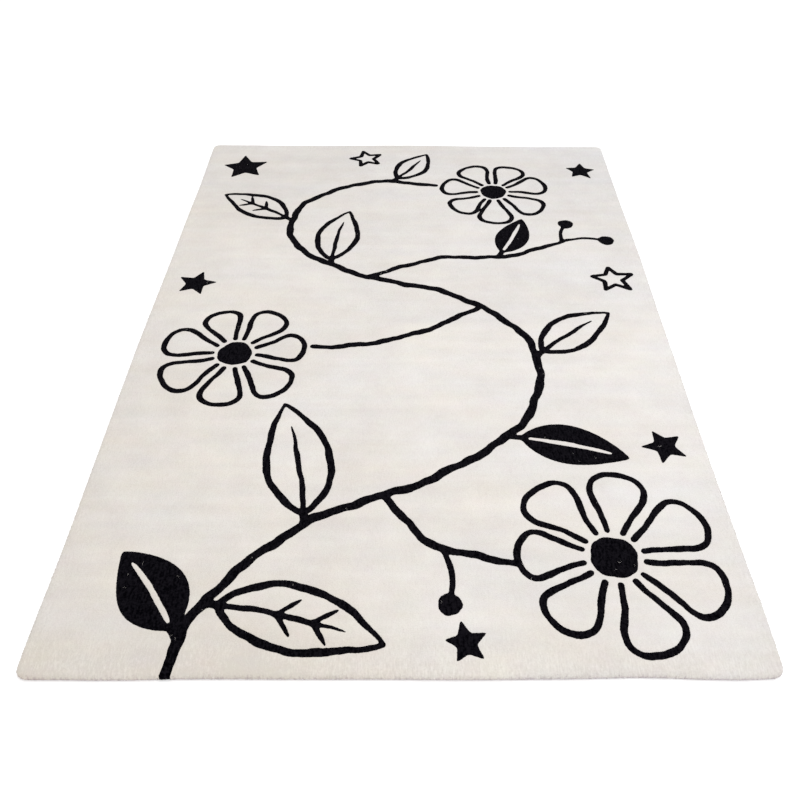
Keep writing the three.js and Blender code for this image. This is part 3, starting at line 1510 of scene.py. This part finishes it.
class StrandSetter:
    """Geometry nodes that set one strand again and again, each turned and sized a little differently."""

    NAME = "set_strands"
    INPUTS = (
        ("Base", GEOMETRY, None),
        ("Strand", "NodeSocketObject", None),
        ("Spacing", FLOAT, TUFT),
        ("Place Spread", VECTOR, (0.0, 0.0, 0.0)),
        ("Turn Spread", VECTOR, (0.1, 0.1, 0.1)),
        ("Size Spread", VECTOR, (0.1, 0.1, 0.1)),
        ("Seed", "NodeSocketInt", 1),
        ("Wool", "NodeSocketMaterial", None),
    )

    def __init__(self) -> None:
        """Builds the tree."""
        wire, given = Wiring.group(
            self.NAME, "GeometryNodeTree", self.INPUTS, (("Strands", GEOMETRY),)
        )
        self.tree = wire.tree
        places, facing = self._places(wire, given)
        shift_seed, size_seed = (wire.math("ADD", given["Seed"], more) for more in (11.0, 7.0))
        shift = self._around(wire, 0.0, given["Place Spread"], shift_seed)
        turn = self._around(wire, 0.0, given["Turn Spread"], given["Seed"])
        size = self._around(wire, 1.0, given["Size Spread"], size_seed)
        moved = wire.add("GeometryNodeSetPosition", {"Geometry": places, "Offset": shift})
        twist = wire.add("FunctionNodeEulerToRotation", {0: turn}).outputs[0]
        turned = wire.add(
            "FunctionNodeRotateRotation",
            {"Rotation": facing, "Rotate By": twist},
            rotation_space="LOCAL",
        )
        strand = wire.add(
            "GeometryNodeObjectInfo", {"Object": given["Strand"], "As Instance": True}
        )
        placed = wire.add(
            "GeometryNodeInstanceOnPoints",
            {
                "Points": moved.outputs[0],
                "Instance": strand.outputs["Geometry"],
                "Rotation": turned.outputs[0],
                "Scale": size,
            },
        )
        real = wire.add("GeometryNodeRealizeInstances", {"Geometry": placed.outputs["Instances"]})
        dressed = wire.add(
            "GeometryNodeSetMaterial", {"Geometry": real.outputs[0], "Material": given["Wool"]}
        )
        wire.add("NodeGroupOutput", {"Strands": dressed.outputs[0]})

    def _places(self, wire: Wiring, given: object) -> tuple[Socket, Socket]:
        """Wires the places of the strands and the way each one stands."""
        raise NotImplementedError

    @staticmethod
    def _around(wire: Wiring, middle: float, spread: Socket, seed: Socket) -> Socket:
        """Wires a random vector whose three parts lie within a spread of a middle value.

        Args:
            wire: The tree's wiring.
            middle: The middle value.
            spread: How far each part may stray from it.
            seed: The seed of the choice.

        Returns:
            The vector.
        """
        low, high = (wire.vector(kind, (middle,) * 3, spread) for kind in ("SUBTRACT", "ADD"))
        inputs = {0: low, 1: high, "Seed": seed}
        return wire.add("FunctionNodeRandomValue", inputs, data_type="FLOAT_VECTOR").outputs[0]

    def set(
        self,
        name: str,
        base: bpy.types.Object,
        strand: Strand,
        setting: Setting,
        wool: bpy.types.Material,
    ) -> bpy.types.Object:
        """Sets a strand again and again and returns all of them as one plain mesh.

        Args:
            name: The piece's name.
            base: What they are set on, which is removed.
            strand: The strand.
            setting: How they are set.
            wool: Their finish.

        Returns:
            The piece.
        """
        pattern = strand.build()
        values = {key.replace("_", " ").title(): value for key, value in vars(setting).items()}
        made = baked_nodes(base, self.tree, {**values, "Strand": pattern, "Wool": wool}, name)
        bpy.data.objects.remove(pattern)
        return made


class PathSetter(StrandSetter):
    """Sets strands along paths, a given spacing apart."""

    NAME = "set_strands_along_paths"

    def _places(self, wire: Wiring, given: object) -> tuple[Socket, Socket]:
        """Wires evenly spaced points of the paths and the directions that the paths carry.

        Args:
            wire: The tree's wiring.
            given: The tree's inputs.

        Returns:
            The points, and the way a strand stands at each.
        """
        curve = wire.add("GeometryNodeMeshToCurve", {"Mesh": given["Base"]})
        spaced = wire.add(
            "GeometryNodeResampleCurve",
            {"Curve": curve.outputs["Curve"], "Length": given["Spacing"]},
            mode="LENGTH",
        )
        upright, outward = (
            wire.add("GeometryNodeInputNamedAttribute", {"Name": name}, data_type="FLOAT_VECTOR")
            for name in ("upright", "outward")
        )
        facing = wire.add(
            "FunctionNodeAxesToRotation",
            {0: upright.outputs["Attribute"], 1: outward.outputs["Attribute"]},
            primary_axis="Z",
            secondary_axis="X",
        )
        return spaced.outputs["Curve"], facing.outputs[0]

    @staticmethod
    def carrier(paths: list[StrandPath]) -> bpy.types.Object:
        """Makes a mesh of bare edges that carries paths and their directions.

        Args:
            paths: The paths.

        Returns:
            The mesh's object.
        """
        links, start = [], 0
        for path in paths:
            numbers = np.arange(start, start + len(path.points))
            pairs = np.column_stack([numbers, np.roll(numbers, -1)])
            links += (pairs if path.closed else pairs[:-1]).tolist()
            start += len(path.points)
        mesh = bpy.data.meshes.new("paths")
        mesh.from_pydata(np.vstack([path.points for path in paths]).tolist(), links, [])
        for key in ("upright", "outward"):
            layer = mesh.attributes.new(key, "FLOAT_VECTOR", "POINT")
            ways = np.vstack([getattr(path, key) for path in paths])
            layer.data.foreach_set("vector", ways.astype(np.float32).ravel())
        return linked(bpy.data.objects.new("paths", mesh))


class ScatterSetter(StrandSetter):
    """Scatters strands over the upper side of a piece, so many to a square metre (Spacing)."""

    NAME = "scatter_strands"

    def _places(self, wire: Wiring, given: object) -> tuple[Socket, Socket]:
        """Wires random points of the faces that look up.

        Args:
            wire: The tree's wiring.
            given: The tree's inputs.

        Returns:
            The points, and the way a strand stands at each.
        """
        normal = wire.add("GeometryNodeInputNormal").outputs[0]
        upward = wire.add("ShaderNodeSeparateXYZ", {0: normal}).outputs["Z"]
        looks_up = wire.add("FunctionNodeCompare", {0: upward, 1: 0.9}, operation="GREATER_THAN")
        strewn = wire.add(
            "GeometryNodeDistributePointsOnFaces",
            {
                "Mesh": given["Base"],
                "Selection": looks_up.outputs[0],
                "Density": given["Spacing"],
                "Seed": given["Seed"],
            },
        )
        return strewn.outputs["Points"], strewn.outputs["Rotation"]

    @staticmethod
    def carrier(piece: bpy.types.Object) -> bpy.types.Object:
        """Copies a piece, to be scattered over."""
        return linked(bpy.data.objects.new("strewn", piece.data.copy()))


def baked_nodes(
    carrier: bpy.types.Object, tree: bpy.types.NodeTree, values: dict, name: str
) -> bpy.types.Object:
    """Runs geometry nodes on an object and keeps only their result.

    Args:
        carrier: The object that the nodes start from. It is removed.
        tree: The geometry nodes.
        values: Their inputs, by name.
        name: The result's name.

    Returns:
        The result, a plain mesh at the origin.
    """
    nodes = carrier.modifiers.new("nodes", "NODES")
    nodes.node_group = tree
    for item in tree.interface.items_tree:
        if item.in_out == "INPUT" and item.name in values:
            nodes[item.identifier] = values[item.name]
    bpy.context.view_layer.update()
    graph = bpy.context.evaluated_depsgraph_get()
    mesh = bpy.data.meshes.new_from_object(carrier.evaluated_get(graph))
    mesh.name = name
    for layer in [a.name for a in mesh.attributes if a.name in ("upright", "outward")]:
        mesh.attributes.remove(mesh.attributes[layer])
    finish = next(material for material in mesh.materials if material is not None)
    mesh.materials.clear()
    mesh.materials.append(finish)
    mesh.polygons.foreach_set("material_index", np.zeros(len(mesh.polygons), np.int32))
    bpy.data.objects.remove(carrier)
    return linked(bpy.data.objects.new(name, mesh))


@dataclass
class RimYarns:
    """The yarns that stand round the rim and roll over its shoulder."""

    form: PileForm
    outline: Outline
    ink: InkField
    step: float = 0.0015
    inside_black: float = 0.0012
    yarn: Strand = Strand(
        "rim_yarn",
        ((-2.8, 0, 0.9), (-1.85, 0, 4.4), (-1.8, 0, 8.2), (-3.2, 0, 10.9), (-6.0, 0, 12.6)),
        (0.75, 1.15, 1.2, 1.05, 0.55),
        5,
    )
    setting: Setting = Setting(
        0.0021, (0.14, 0.04, 0.2), (0.05, 0.2, 0.05), 3, (0.0003, 0.0003, 0.0002)
    )

    def __post_init__(self) -> None:
        """Finds the rim's line, and where the drawing makes its yarns black."""
        self.line = self.outline.inset(0.0, self.step)
        spread = self.form.round(0.5 * self.form.reach, self.step)
        near = nearest_numbers(finder(spread), self.line)
        self.black = self.ink.at(spread[near]) < -self.inside_black

    def build(
        self, setter: PathSetter, name: str, black: bool, wool: bpy.types.Material
    ) -> bpy.types.Object:
        """Sets the rim's yarns of one colour.

        Args:
            setter: The geometry nodes that set them.
            name: The piece's name.
            black: Whether the black or the ivory ones are set.
            wool: Their finish.

        Returns:
            The piece.
        """
        level = np.zeros((len(self.line), 1))
        points = np.hstack([self.line, level])
        outward = np.hstack([-left_of(self.line, closed=True), level])
        upright = np.tile((0.0, 0.0, 1.0), (len(self.line), 1))
        paths = StrandPath.runs(points, upright, outward, self.black == black)
        return setter.set(name, setter.carrier(paths), self.yarn, self.setting, wool)


def runs_of(wanted: np.ndarray) -> list[np.ndarray]:
    """Finds the unbroken runs of a closed row.

    Args:
        wanted: Whether each place of the row belongs to a run.

    Returns:
        The numbers of each run's places, in order.
    """
    if wanted.all():
        return [np.arange(len(wanted))]
    if not wanted.any():
        return []
    first = int(np.argmin(wanted))
    order = np.roll(np.arange(len(wanted)), -first)
    flags = wanted[order].astype(int)
    starts = np.flatnonzero(np.diff(np.concatenate([[0], flags])) == 1)
    stops = np.flatnonzero(np.diff(np.concatenate([flags, [0]])) == -1)
    return [order[a : b + 1] for a, b in zip(starts, stops)]


@dataclass
class EdgeTufts:
    """The black tufts that lean over the ivory all along the drawing's edges."""

    pile: Pile
    inset: float = 0.0007
    sunk: float = 0.0006
    off_foot: float = 0.006
    tuft: Strand = Strand(
        "edge_tuft", ((-0.4, 0, -2.4), (0, 0, -1.1), (0.2, 0, -0.1)), (1.15, 1.35, 0.9), 3, 0.5
    )
    setting: Setting = Setting(
        0.0038, (0.25, 0.25, 0.35), (0.15, 0.15, 0.12), 9, (0.0003, 0.0003, 0.0001)
    )

    def build(self, setter: PathSetter, name: str, wool: bpy.types.Material) -> bpy.types.Object:
        """Sets the tufts.

        Args:
            setter: The geometry nodes that set them.
            name: The piece's name.
            wool: Their finish.

        Returns:
            The piece.
        """
        paths = [path for edge in self.pile.clean_edges for path in self._paths(edge)]
        return setter.set(name, setter.carrier(paths), self.tuft, self.setting, wool)

    def _paths(self, edge: Plan) -> list[StrandPath]:
        """Follows an edge just inside the black, on the rug itself.

        Args:
            edge: The edge, a closed line on the spread-out pile.

        Returns:
            The paths on which its tufts stand.
        """
        form, ink = self.pile.form, self.pile.ink
        probe = MILLIMETRE
        ways = left_of(edge, closed=True)
        towards_black = np.sign(ink.at(edge - ways * probe) - ink.at(edge + ways * probe))
        inwards = ways * towards_black[:, None]
        line = edge + inwards * self.inset
        on_rug = form.beyond(line)[0] < form.reach - self.off_foot
        points, upright = form.skin(line, self.sunk)
        outside = form.skin(line - inwards * probe, self.sunk)[0]
        return StrandPath.runs(points, upright, (outside - points) / probe, on_rug)


@dataclass
class StrayFibres:
    """Short loose fibres of ivory wool that the shearing left lying on the pile."""

    fibre: Strand = Strand(
        "stray_fibre",
        ((-3.4, -0.6, 0.1), (-1.6, 0.7, 0.45), (0.3, 1.0, 0.6), (2.0, 0.2, 0.4), (3.2, -1.4, 0.1)),
        (0.06, 0.10, 0.11, 0.10, 0.06),
        3,
    )
    setting: Setting = Setting(130.0, (0.1, 0.1, math.pi), (0.5, 0.7, 0.3), 17)

    def build(
        self, setter: ScatterSetter, name: str, piece: bpy.types.Object, wool: bpy.types.Material
    ) -> bpy.types.Object:
        """Strews fibres over a piece.

        Args:
            setter: The geometry nodes that strew them.
            name: The new piece's name.
            piece: What they lie on.
            wool: Their finish.

        Returns:
            The new piece.
        """
        return setter.set(name, setter.carrier(piece), self.fibre, self.setting, wool)


@dataclass
class Backing:
    """The woven cloth under the pile, whose edge just shows at the rug's foot.

    The section of its edge says how much further in than the inset it lies, and how high.
    """

    outline: Outline
    inset: float = 0.0032
    height: float = 0.0023
    step: float = 0.006

    def build(self, name: str, cloth: bpy.types.Material) -> bpy.types.Object:
        """Makes the cloth as a thin closed slab with soft edges.

        Args:
            name: The piece's name.
            cloth: Its finish.

        Returns:
            The piece.
        """
        section = ((0.0012, 0.0), (0.0002, 0.0004), (0.0, 0.5 * self.height), (0.0008, self.height))
        rings = [self.outline.inset(self.inset + further, self.step) for further, _ in section]
        count = min(len(ring) for ring in rings)
        rings = [respaced(ring, count, closed=True) for ring in rings]
        points = [np.column_stack([ring, np.full(count, z)]) for ring, (_, z) in zip(rings, section)]
        faces = ring_walls(len(rings), count)
        start = len(rings) * count
        for ring, height, order in ((rings[0], 0.0, -1), (rings[-1], self.height, 1)):
            side = Patchwork.cut(ring, [], np.zeros((0, 2)))
            points.append(np.column_stack([side.plan, np.full(len(side.plan), height)]))
            faces += (side.faces[:, ::order] + start).tolist()
            start += len(side.plan)
        piece = mesh_object(name, np.vstack(points), faces, cloth)
        weld(piece)
        return piece


class Shaders:
    """The shader groups that the finishes share."""

    def __init__(self) -> None:
        """Builds the groups."""
        self.cut_pile = self._cut_pile()
        self.dye = self._dye()
        self.weave = self._weave()

    @staticmethod
    def _cut_pile() -> bpy.types.NodeTree:
        """Builds the tufts of a cut pile: rows along the rug, each tuft a little mound of fibres.

        Returns:
            A group that puts out the mounds' height and a tone for each tuft.
        """
        takes = (
            ("Place", VECTOR, None),
            ("Row Pitch", FLOAT, TUFT),
            ("Tuft Pitch", FLOAT, 0.0038),
            ("Unevenness", FLOAT, 0.9),
        )
        gives = (("Height", FLOAT), ("Tone", FLOAT))
        wire, given = Wiring.group("cut_pile", "ShaderNodeTree", takes, gives)
        place = given["Place"]
        sway = wire.add("ShaderNodeTexNoise", {"Vector": place, "Scale": 26.0, "Detail": 2.0})
        swayed = wire.vector("MULTIPLY_ADD", sway.outputs["Color"], (0.005, 0.005, 0.0), place)
        pitches = {0: given["Row Pitch"], 1: given["Tuft Pitch"], 2: 1.0}
        pitch = wire.add("ShaderNodeCombineXYZ", pitches).outputs[0]
        counted = wire.vector("DIVIDE", swayed, pitch)
        tufts = wire.add(
            "ShaderNodeTexVoronoi",
            {"Vector": counted, "Scale": 1.0, "Randomness": given["Unevenness"]},
            voronoi_dimensions="2D",
        )
        mound = wire.rise(tufts.outputs["Distance"], 0.75, 0.1)
        fibres = wire.noise(place, 900.0, 3.0, 0.6)
        rows = wire.noise(wire.vector("MULTIPLY", counted, (1.0, 0.25, 1.0)), 0.9, 2.0, 0.5)
        tufted = wire.noise(place, 205.0, 3.0, 0.62)
        rough = wire.math("MULTIPLY_ADD", fibres, 0.35, mound)
        height = wire.math("MULTIPLY_ADD", rows, 0.8, rough)
        shares = ((rows, 4.5), (tufted, 5.2), (fibres, 1.2))
        tone = -0.5 * sum(share for _, share in shares)
        for noise, share in shares:
            tone = wire.math("MULTIPLY_ADD", noise, share, tone)
        wire.add("NodeGroupOutput", {"Height": height, "Tone": tone})
        return wire.tree

    @staticmethod
    def _dye() -> bpy.types.NodeTree:
        """Builds the uneven dye of wool: wide patches, blotches, and bands that run across the rug.

        Its near end is darker and warmer and shows the tuft rows as fine streaks, and its near left
        corner is darker too: painted shade where the lamp's light falls off.

        Returns:
            A group that puts out the tone, from about -1 to 1, a tint to multiply a colour by, and
            how close the rug's edge is, from 0 to 1.
        """
        takes = (("Place", VECTOR, None), ("Hue Shift", FLOAT, 1.0))
        gives = (("Tone", FLOAT), ("Tint", VECTOR), ("Edge", FLOAT))
        wire, given = Wiring.group("wool_dye_and_painted_shade", "ShaderNodeTree", takes, gives)
        place = given["Place"]
        bands = wire.vector("MULTIPLY", place, (1.6, 22.0, 1.0))
        smears = wire.vector("MULTIPLY", place, (2.4, 6.5, 1.0))
        rows = wire.vector("MULTIPLY", place, (1.0, 0.22, 0.22))
        x, y, _ = wire.add("ShaderNodeSeparateXYZ", {0: place}).outputs
        near_end = wire.rise(y, -0.88, -0.98)
        # painted shade: the tone drops towards the near left corner, where the lamp's light falls off
        painted_near_left_shade = wire.rise(wire.math("ADD", x, y), -0.95, -1.45)
        streaks = wire.math("SUBTRACT", wire.noise(rows, 370.0, 3.0, 0.6), 0.5)
        tone = -1.7
        for noise, share in (
            (wire.noise(place, 2.2, 2.0, 0.6), 1.3),
            (wire.noise(place, 17.0, 4.0, 0.6), 1.1),
            (wire.noise(bands, 1.0, 3.0, 0.6), 1.0),
            (near_end, -0.25),
            (painted_near_left_shade, -0.30),
            (wire.math("MULTIPLY", near_end, streaks), 2.2),
        ):
            tone = wire.math("MULTIPLY_ADD", noise, share, tone)

        hue = wire.noise(smears, 1.0, 7.0, 0.74)
        for drift, share in ((x, -0.14), (y, -0.06), (near_end, 0.10)):
            hue = wire.math("MULTIPLY_ADD", drift, share, hue)
        warmth = wire.math("MULTIPLY", wire.math("SUBTRACT", hue, 0.5), given["Hue Shift"])
        green = wire.math("SUBTRACT", wire.noise(place, 23.0, 5.0, 0.75), 0.5)
        leans = ((warmth, 0.05), (green, 0.10), (warmth, -0.10))
        parts = [wire.math("MULTIPLY_ADD", lean, share, 1.0) for lean, share in leans]
        tint = wire.add("ShaderNodeCombineXYZ", dict(enumerate(parts))).outputs[0]

        past_width = wire.math("ADD", wire.math("ABSOLUTE", x), 0.5 * (FLAT_SIZE[1] - FLAT_SIZE[0]))
        out = wire.math("MAXIMUM", past_width, wire.math("ABSOLUTE", y))
        edge = wire.rise(out, 0.955, 0.995)
        wire.add("NodeGroupOutput", {"Tone": tone, "Tint": tint, "Edge": edge})
        return wire.tree

    @staticmethod
    def _weave() -> bpy.types.NodeTree:
        """Builds a plain weave.

        Returns:
            A group that puts out the threads' height.
        """
        takes = (("Place", VECTOR, None), ("Thread", FLOAT, 0.0018))
        wire, given = Wiring.group("plain_weave", "ShaderNodeTree", takes, (("Height", FLOAT),))
        x, y, _ = wire.add("ShaderNodeSeparateXYZ", {0: given["Place"]}).outputs
        waves = [
            wire.math("SINE", wire.math("MULTIPLY", axis, wire.math("DIVIDE", math.pi, given["Thread"])))
            for axis in (x, y)
        ]
        along, across = (wire.math("ABSOLUTE", wave) for wave in waves)
        signs = [wire.math("SIGN", wave) for wave in waves]
        over = wire.math("MULTIPLY_ADD", wire.math("MULTIPLY", *signs), 0.5, 0.5)
        under = wire.math("SUBTRACT", 1.0, over)
        height = wire.math("MULTIPLY_ADD", across, under, wire.math("MULTIPLY", along, over))
        wire.add("NodeGroupOutput", {"Height": height})
        return wire.tree


@dataclass(frozen=True)
class Finish:
    """What the rug's finishes have in common."""

    name: str

    def start(
        self, *trees: bpy.types.NodeTree
    ) -> tuple[bpy.types.Material, Wiring, list[bpy.types.Node]]:
        """Starts the material.

        Args:
            trees: The shader groups that it uses.

        Returns:
            The material, its wiring, and the groups' nodes.
        """
        material = bpy.data.materials.new(self.name)
        material.use_nodes = True
        material.node_tree.nodes.clear()
        wire = Wiring(material.node_tree)
        place = wire.add("ShaderNodeTexCoord").outputs["Object"]
        groups = [wire.add("ShaderNodeGroup", {"Place": place}, node_tree=tree) for tree in trees]
        return material, wire, groups

    @staticmethod
    def end(wire: Wiring, colour: Socket, bumps: dict, sockets: dict) -> None:
        """Wires the skin.

        Args:
            wire: The material's wiring.
            colour: The colour.
            bumps: What the bump node takes.
            sockets: What the skin's other sockets take.
        """
        normal = wire.add("ShaderNodeBump", bumps).outputs[0]
        inputs = {"Base Color": colour, "Normal": normal, **sockets}
        skin = wire.add("ShaderNodeBsdfPrincipled", inputs)
        wire.add("ShaderNodeOutputMaterial", {"Surface": skin.outputs[0]})


@dataclass(frozen=True)
class WoolFinish(Finish):
    """Cut wool pile of one colour."""

    light: Triple
    dark: Triple
    tuft_tone: float
    dye_tone: float
    hue_shift: float
    relief: float
    sheen: float
    shine: float
    edge_tufts: float = 2.5
    foot_shade: Triple = (0.67, 0.62, 0.69)
    foot: tuple[float, float] = (0.001, 0.0125)
    crevice: float = 0.026

    def build(self, shaders: Shaders) -> bpy.types.Material:
        """Makes the material.

        Args:
            shaders: The shared shader groups.

        Returns:
            The material.
        """
        material, wire, (pile, dye) = self.start(shaders.cut_pile, shaders.dye)
        dye.inputs["Hue Shift"].default_value = self.hue_shift
        more = (self.edge_tufts - 1) * self.tuft_tone
        open_pile = wire.math("MULTIPLY_ADD", dye.outputs["Edge"], more, self.tuft_tone)
        tufts = wire.math("MULTIPLY_ADD", pile.outputs["Tone"], open_pile, 0.5)
        tone = wire.math("MULTIPLY_ADD", dye.outputs["Tone"], self.dye_tone, tufts)
        # painted shade: the colour darkens where the tufts' mounds are low, between the tufts
        painted_gap_shade = wire.math("MULTIPLY_ADD", pile.outputs["Height"], 0.12, -0.08)
        body = wire.mix(wire.math("ADD", tone, painted_gap_shade), self.dark, self.light)
        colour = wire.vector("MULTIPLY", body, dye.outputs["Tint"])
        colour = wire.vector("MULTIPLY", colour, self._foot(wire))
        bumps = {"Strength": self.relief, "Distance": 0.0012, "Height": pile.outputs["Height"]}
        sockets = {
            "Roughness": 0.92,
            "Specular IOR Level": self.shine,
            "Sheen Weight": self.sheen,
            "Sheen Roughness": 0.45,
        }
        self.end(wire, colour, bumps, sockets)
        return material

    def _foot(self, wire: Wiring) -> Socket:
        """Wires the shade in which the pile stands at the rug's foot, deeper between its yarns.

        Args:
            wire: The material's wiring.

        Returns:
            A colour to multiply the pile's by.
        """
        place = wire.add("ShaderNodeTexCoord").outputs["Object"]
        upright = wire.vector("MULTIPLY", place, (1.0, 1.0, 0.15))
        crevices = wire.math("SUBTRACT", wire.noise(upright, 230.0, 3.0, 0.7), 0.5)
        level = wire.add("ShaderNodeSeparateXYZ", {0: place}).outputs["Z"]
        above = wire.rise(wire.math("MULTIPLY_ADD", crevices, self.crevice, level), *self.foot)
        return wire.mix(above, self.foot_shade, (1.0, 1.0, 1.0))


@dataclass(frozen=True)
class BackingFinish(Finish):
    """Unbleached cotton in a plain weave, stiffened from behind."""

    thread: Triple
    gap: Triple
    wear: float = 0.25

    def build(self, shaders: Shaders) -> bpy.types.Material:
        """Makes the material.

        Args:
            shaders: The shared shader groups.

        Returns:
            The material.
        """
        material, wire, (weave, dye) = self.start(shaders.weave, shaders.dye)
        height = weave.outputs["Height"]
        # the wool's dye tone, which also holds the painted shade of the near left corner
        worn_and_shaded = wire.math("MULTIPLY_ADD", dye.outputs["Tone"], self.wear, height)
        colour = wire.mix(worn_and_shaded, self.gap, self.thread)
        bumps = {"Strength": 0.5, "Distance": 0.0006, "Height": height}
        self.end(wire, colour, bumps, {"Roughness": 0.9, "Specular IOR Level": 0.2})
        return material


IVORY_WOOL = WoolFinish(
    name="ivory_wool",
    light=(0.80, 0.766, 0.730),
    dark=(0.66, 0.623, 0.588),
    tuft_tone=0.08,
    dye_tone=0.75,
    hue_shift=1.9,
    relief=0.33,
    sheen=0.15,
    shine=0.1,
)
BLACK_WOOL = WoolFinish(
    name="black_wool",
    light=(0.0078, 0.0068, 0.0095),
    dark=(0.0008, 0.0006, 0.0015),
    tuft_tone=0.6,
    dye_tone=0.3,
    hue_shift=0.0,
    relief=0.9,
    sheen=0.006,
    shine=0.01,
)
BACKING_COTTON = BackingFinish("backing_cotton", thread=(0.46, 0.41, 0.36), gap=(0.24, 0.205, 0.19))


@dataclass(frozen=True)
class Studio:
    """A pale floor, soft light and the photograph's camera."""

    camera_place: Triple = (0.0063, -1.6177, 1.3522)
    pitch: float = 45.344
    yaw: float = -0.6905
    roll: float = -0.1125
    lens: float = 34.695
    film_width: float = 36.0
    lamp_place: Triple = (0.69, -0.36, 2.31)
    lamp_size: float = 1.6
    lamp_power: float = 20.2
    sky_strength: float = 0.845
    floor_glow: float = 0.28
    half_floor: float = 14.0
    floor_drop: float = 0.0003

    def build(self) -> None:
        """Sets the whole studio up."""
        self._floor()
        self._sky()
        self._lamp()
        self._camera()

    def _floor(self) -> None:
        """Lays a wide plain floor."""
        half = self.half_floor
        sides = ((-half, -half), (half, -half), (half, half), (-half, half))
        corners = [(x, y, -self.floor_drop) for x, y in sides]
        paint = bpy.data.materials.new("studio_floor")
        paint.use_nodes = True
        skin = paint.node_tree.nodes["Principled BSDF"]
        for name, value in (
            ("Base Color", (0.96, 0.96, 0.96, 1.0)),
            ("Emission Color", (1.0, 1.0, 1.0, 1.0)),
            ("Emission Strength", self.floor_glow),
            ("Roughness", 1.0),
            ("Specular IOR Level", 0.0),
        ):
            skin.inputs[name].default_value = value
        mesh_object("floor", corners, [(0, 1, 2, 3)], paint)

    def _sky(self) -> None:
        """Lights the studio evenly from all round, in front of a white background."""
        world = bpy.data.worlds.new("studio")
        world.use_nodes = True
        glow = world.node_tree.nodes["Background"]
        glow.inputs["Color"].default_value = (1.0, 1.0, 1.0, 1.0)
        wire = Wiring(world.node_tree)
        seen = wire.add("ShaderNodeLightPath").outputs["Is Camera Ray"]
        strength = wire.math("MULTIPLY_ADD", seen, 1 - self.sky_strength, self.sky_strength)
        world.node_tree.links.new(strength, glow.inputs["Strength"])
        bpy.context.scene.world = world

    def _lamp(self) -> None:
        """Hangs a soft square lamp that faces the rug."""
        light = bpy.data.lights.new("key_light", "AREA")
        light.shape = "SQUARE"
        light.size = self.lamp_size
        light.energy = self.lamp_power
        lamp = linked(bpy.data.objects.new("key_light", light))
        lamp.location = self.lamp_place
        lamp.rotation_euler = (-Vector(self.lamp_place)).to_track_quat("-Z", "Y").to_euler()

    def _camera(self) -> None:
        """Stands the camera where the photograph was taken from."""
        pitch, yaw, roll = (math.radians(a) for a in (self.pitch, self.yaw, self.roll))
        level = Vector((math.cos(yaw), -math.sin(yaw), 0))
        ahead = Vector((math.sin(yaw), math.cos(yaw), 0))
        forth = ahead * math.cos(pitch) - Vector((0, 0, math.sin(pitch)))
        rise = level.cross(forth)
        right = level * math.cos(roll) + rise * math.sin(roll)
        up = rise * math.cos(roll) - level * math.sin(roll)
        lens = bpy.data.cameras.new("camera")
        lens.sensor_fit = "HORIZONTAL"
        lens.sensor_width = self.film_width
        lens.lens = self.lens
        camera = linked(bpy.data.objects.new("camera", lens))
        camera.matrix_world = Matrix((right, up, -forth)).transposed().to_4x4()
        camera.location = self.camera_place
        bpy.context.scene.camera = camera
        bpy.context.scene.view_settings.view_transform = "Standard"


def declare(piece: bpy.types.Object) -> bpy.types.Object:
    """Fixes a piece to the rug and logs how many triangles it has.

    Args:
        piece: The piece.

    Returns:
        The piece.
    """
    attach(piece, "root")
    triangles = sum(len(p.vertices) - 2 for p in piece.data.polygons)
    LOG.info("%s: %d triangles", piece.name, triangles)
    return piece


def main() -> None:
    logging.basicConfig(level=logging.INFO, format="%(name)s: %(message)s")
    Studio().build()
    shaders = Shaders()
    ivory, black = IVORY_WOOL.build(shaders), BLACK_WOOL.build(shaders)
    cotton = BACKING_COTTON.build(shaders)

    outline = Outline()
    form = PileForm(Outline(set_back=YARN_ROOM))
    ink = InkField(Garden().shapes(), low=(-0.78, -1.08), high=(0.78, 1.08))
    LOG.info("drawing: %.3f square metres", float((ink.values < 0).sum()) * ink.pitch**2)
    pile = Pile(form, ink)
    ground = declare(pile.piece("ivory_pile", False, ivory))
    drawing = declare(pile.piece("black_drawing", True, black))

    setter, strewer = PathSetter(), ScatterSetter()
    rim = RimYarns(form, outline, ink)
    others = [
        drawing,
        declare(rim.build(setter, "ivory_rim_yarns", False, ivory)),
        declare(rim.build(setter, "black_rim_yarns", True, black)),
        declare(EdgeTufts(pile).build(setter, "black_edge_tufts", black)),
        declare(StrayFibres().build(strewer, "lint_on_black", drawing, ivory)),
        declare(Backing(outline).build("backing", cotton)),
    ]

    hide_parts(RUG_NODE)

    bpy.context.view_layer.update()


if __name__ == "__main__":
    main()
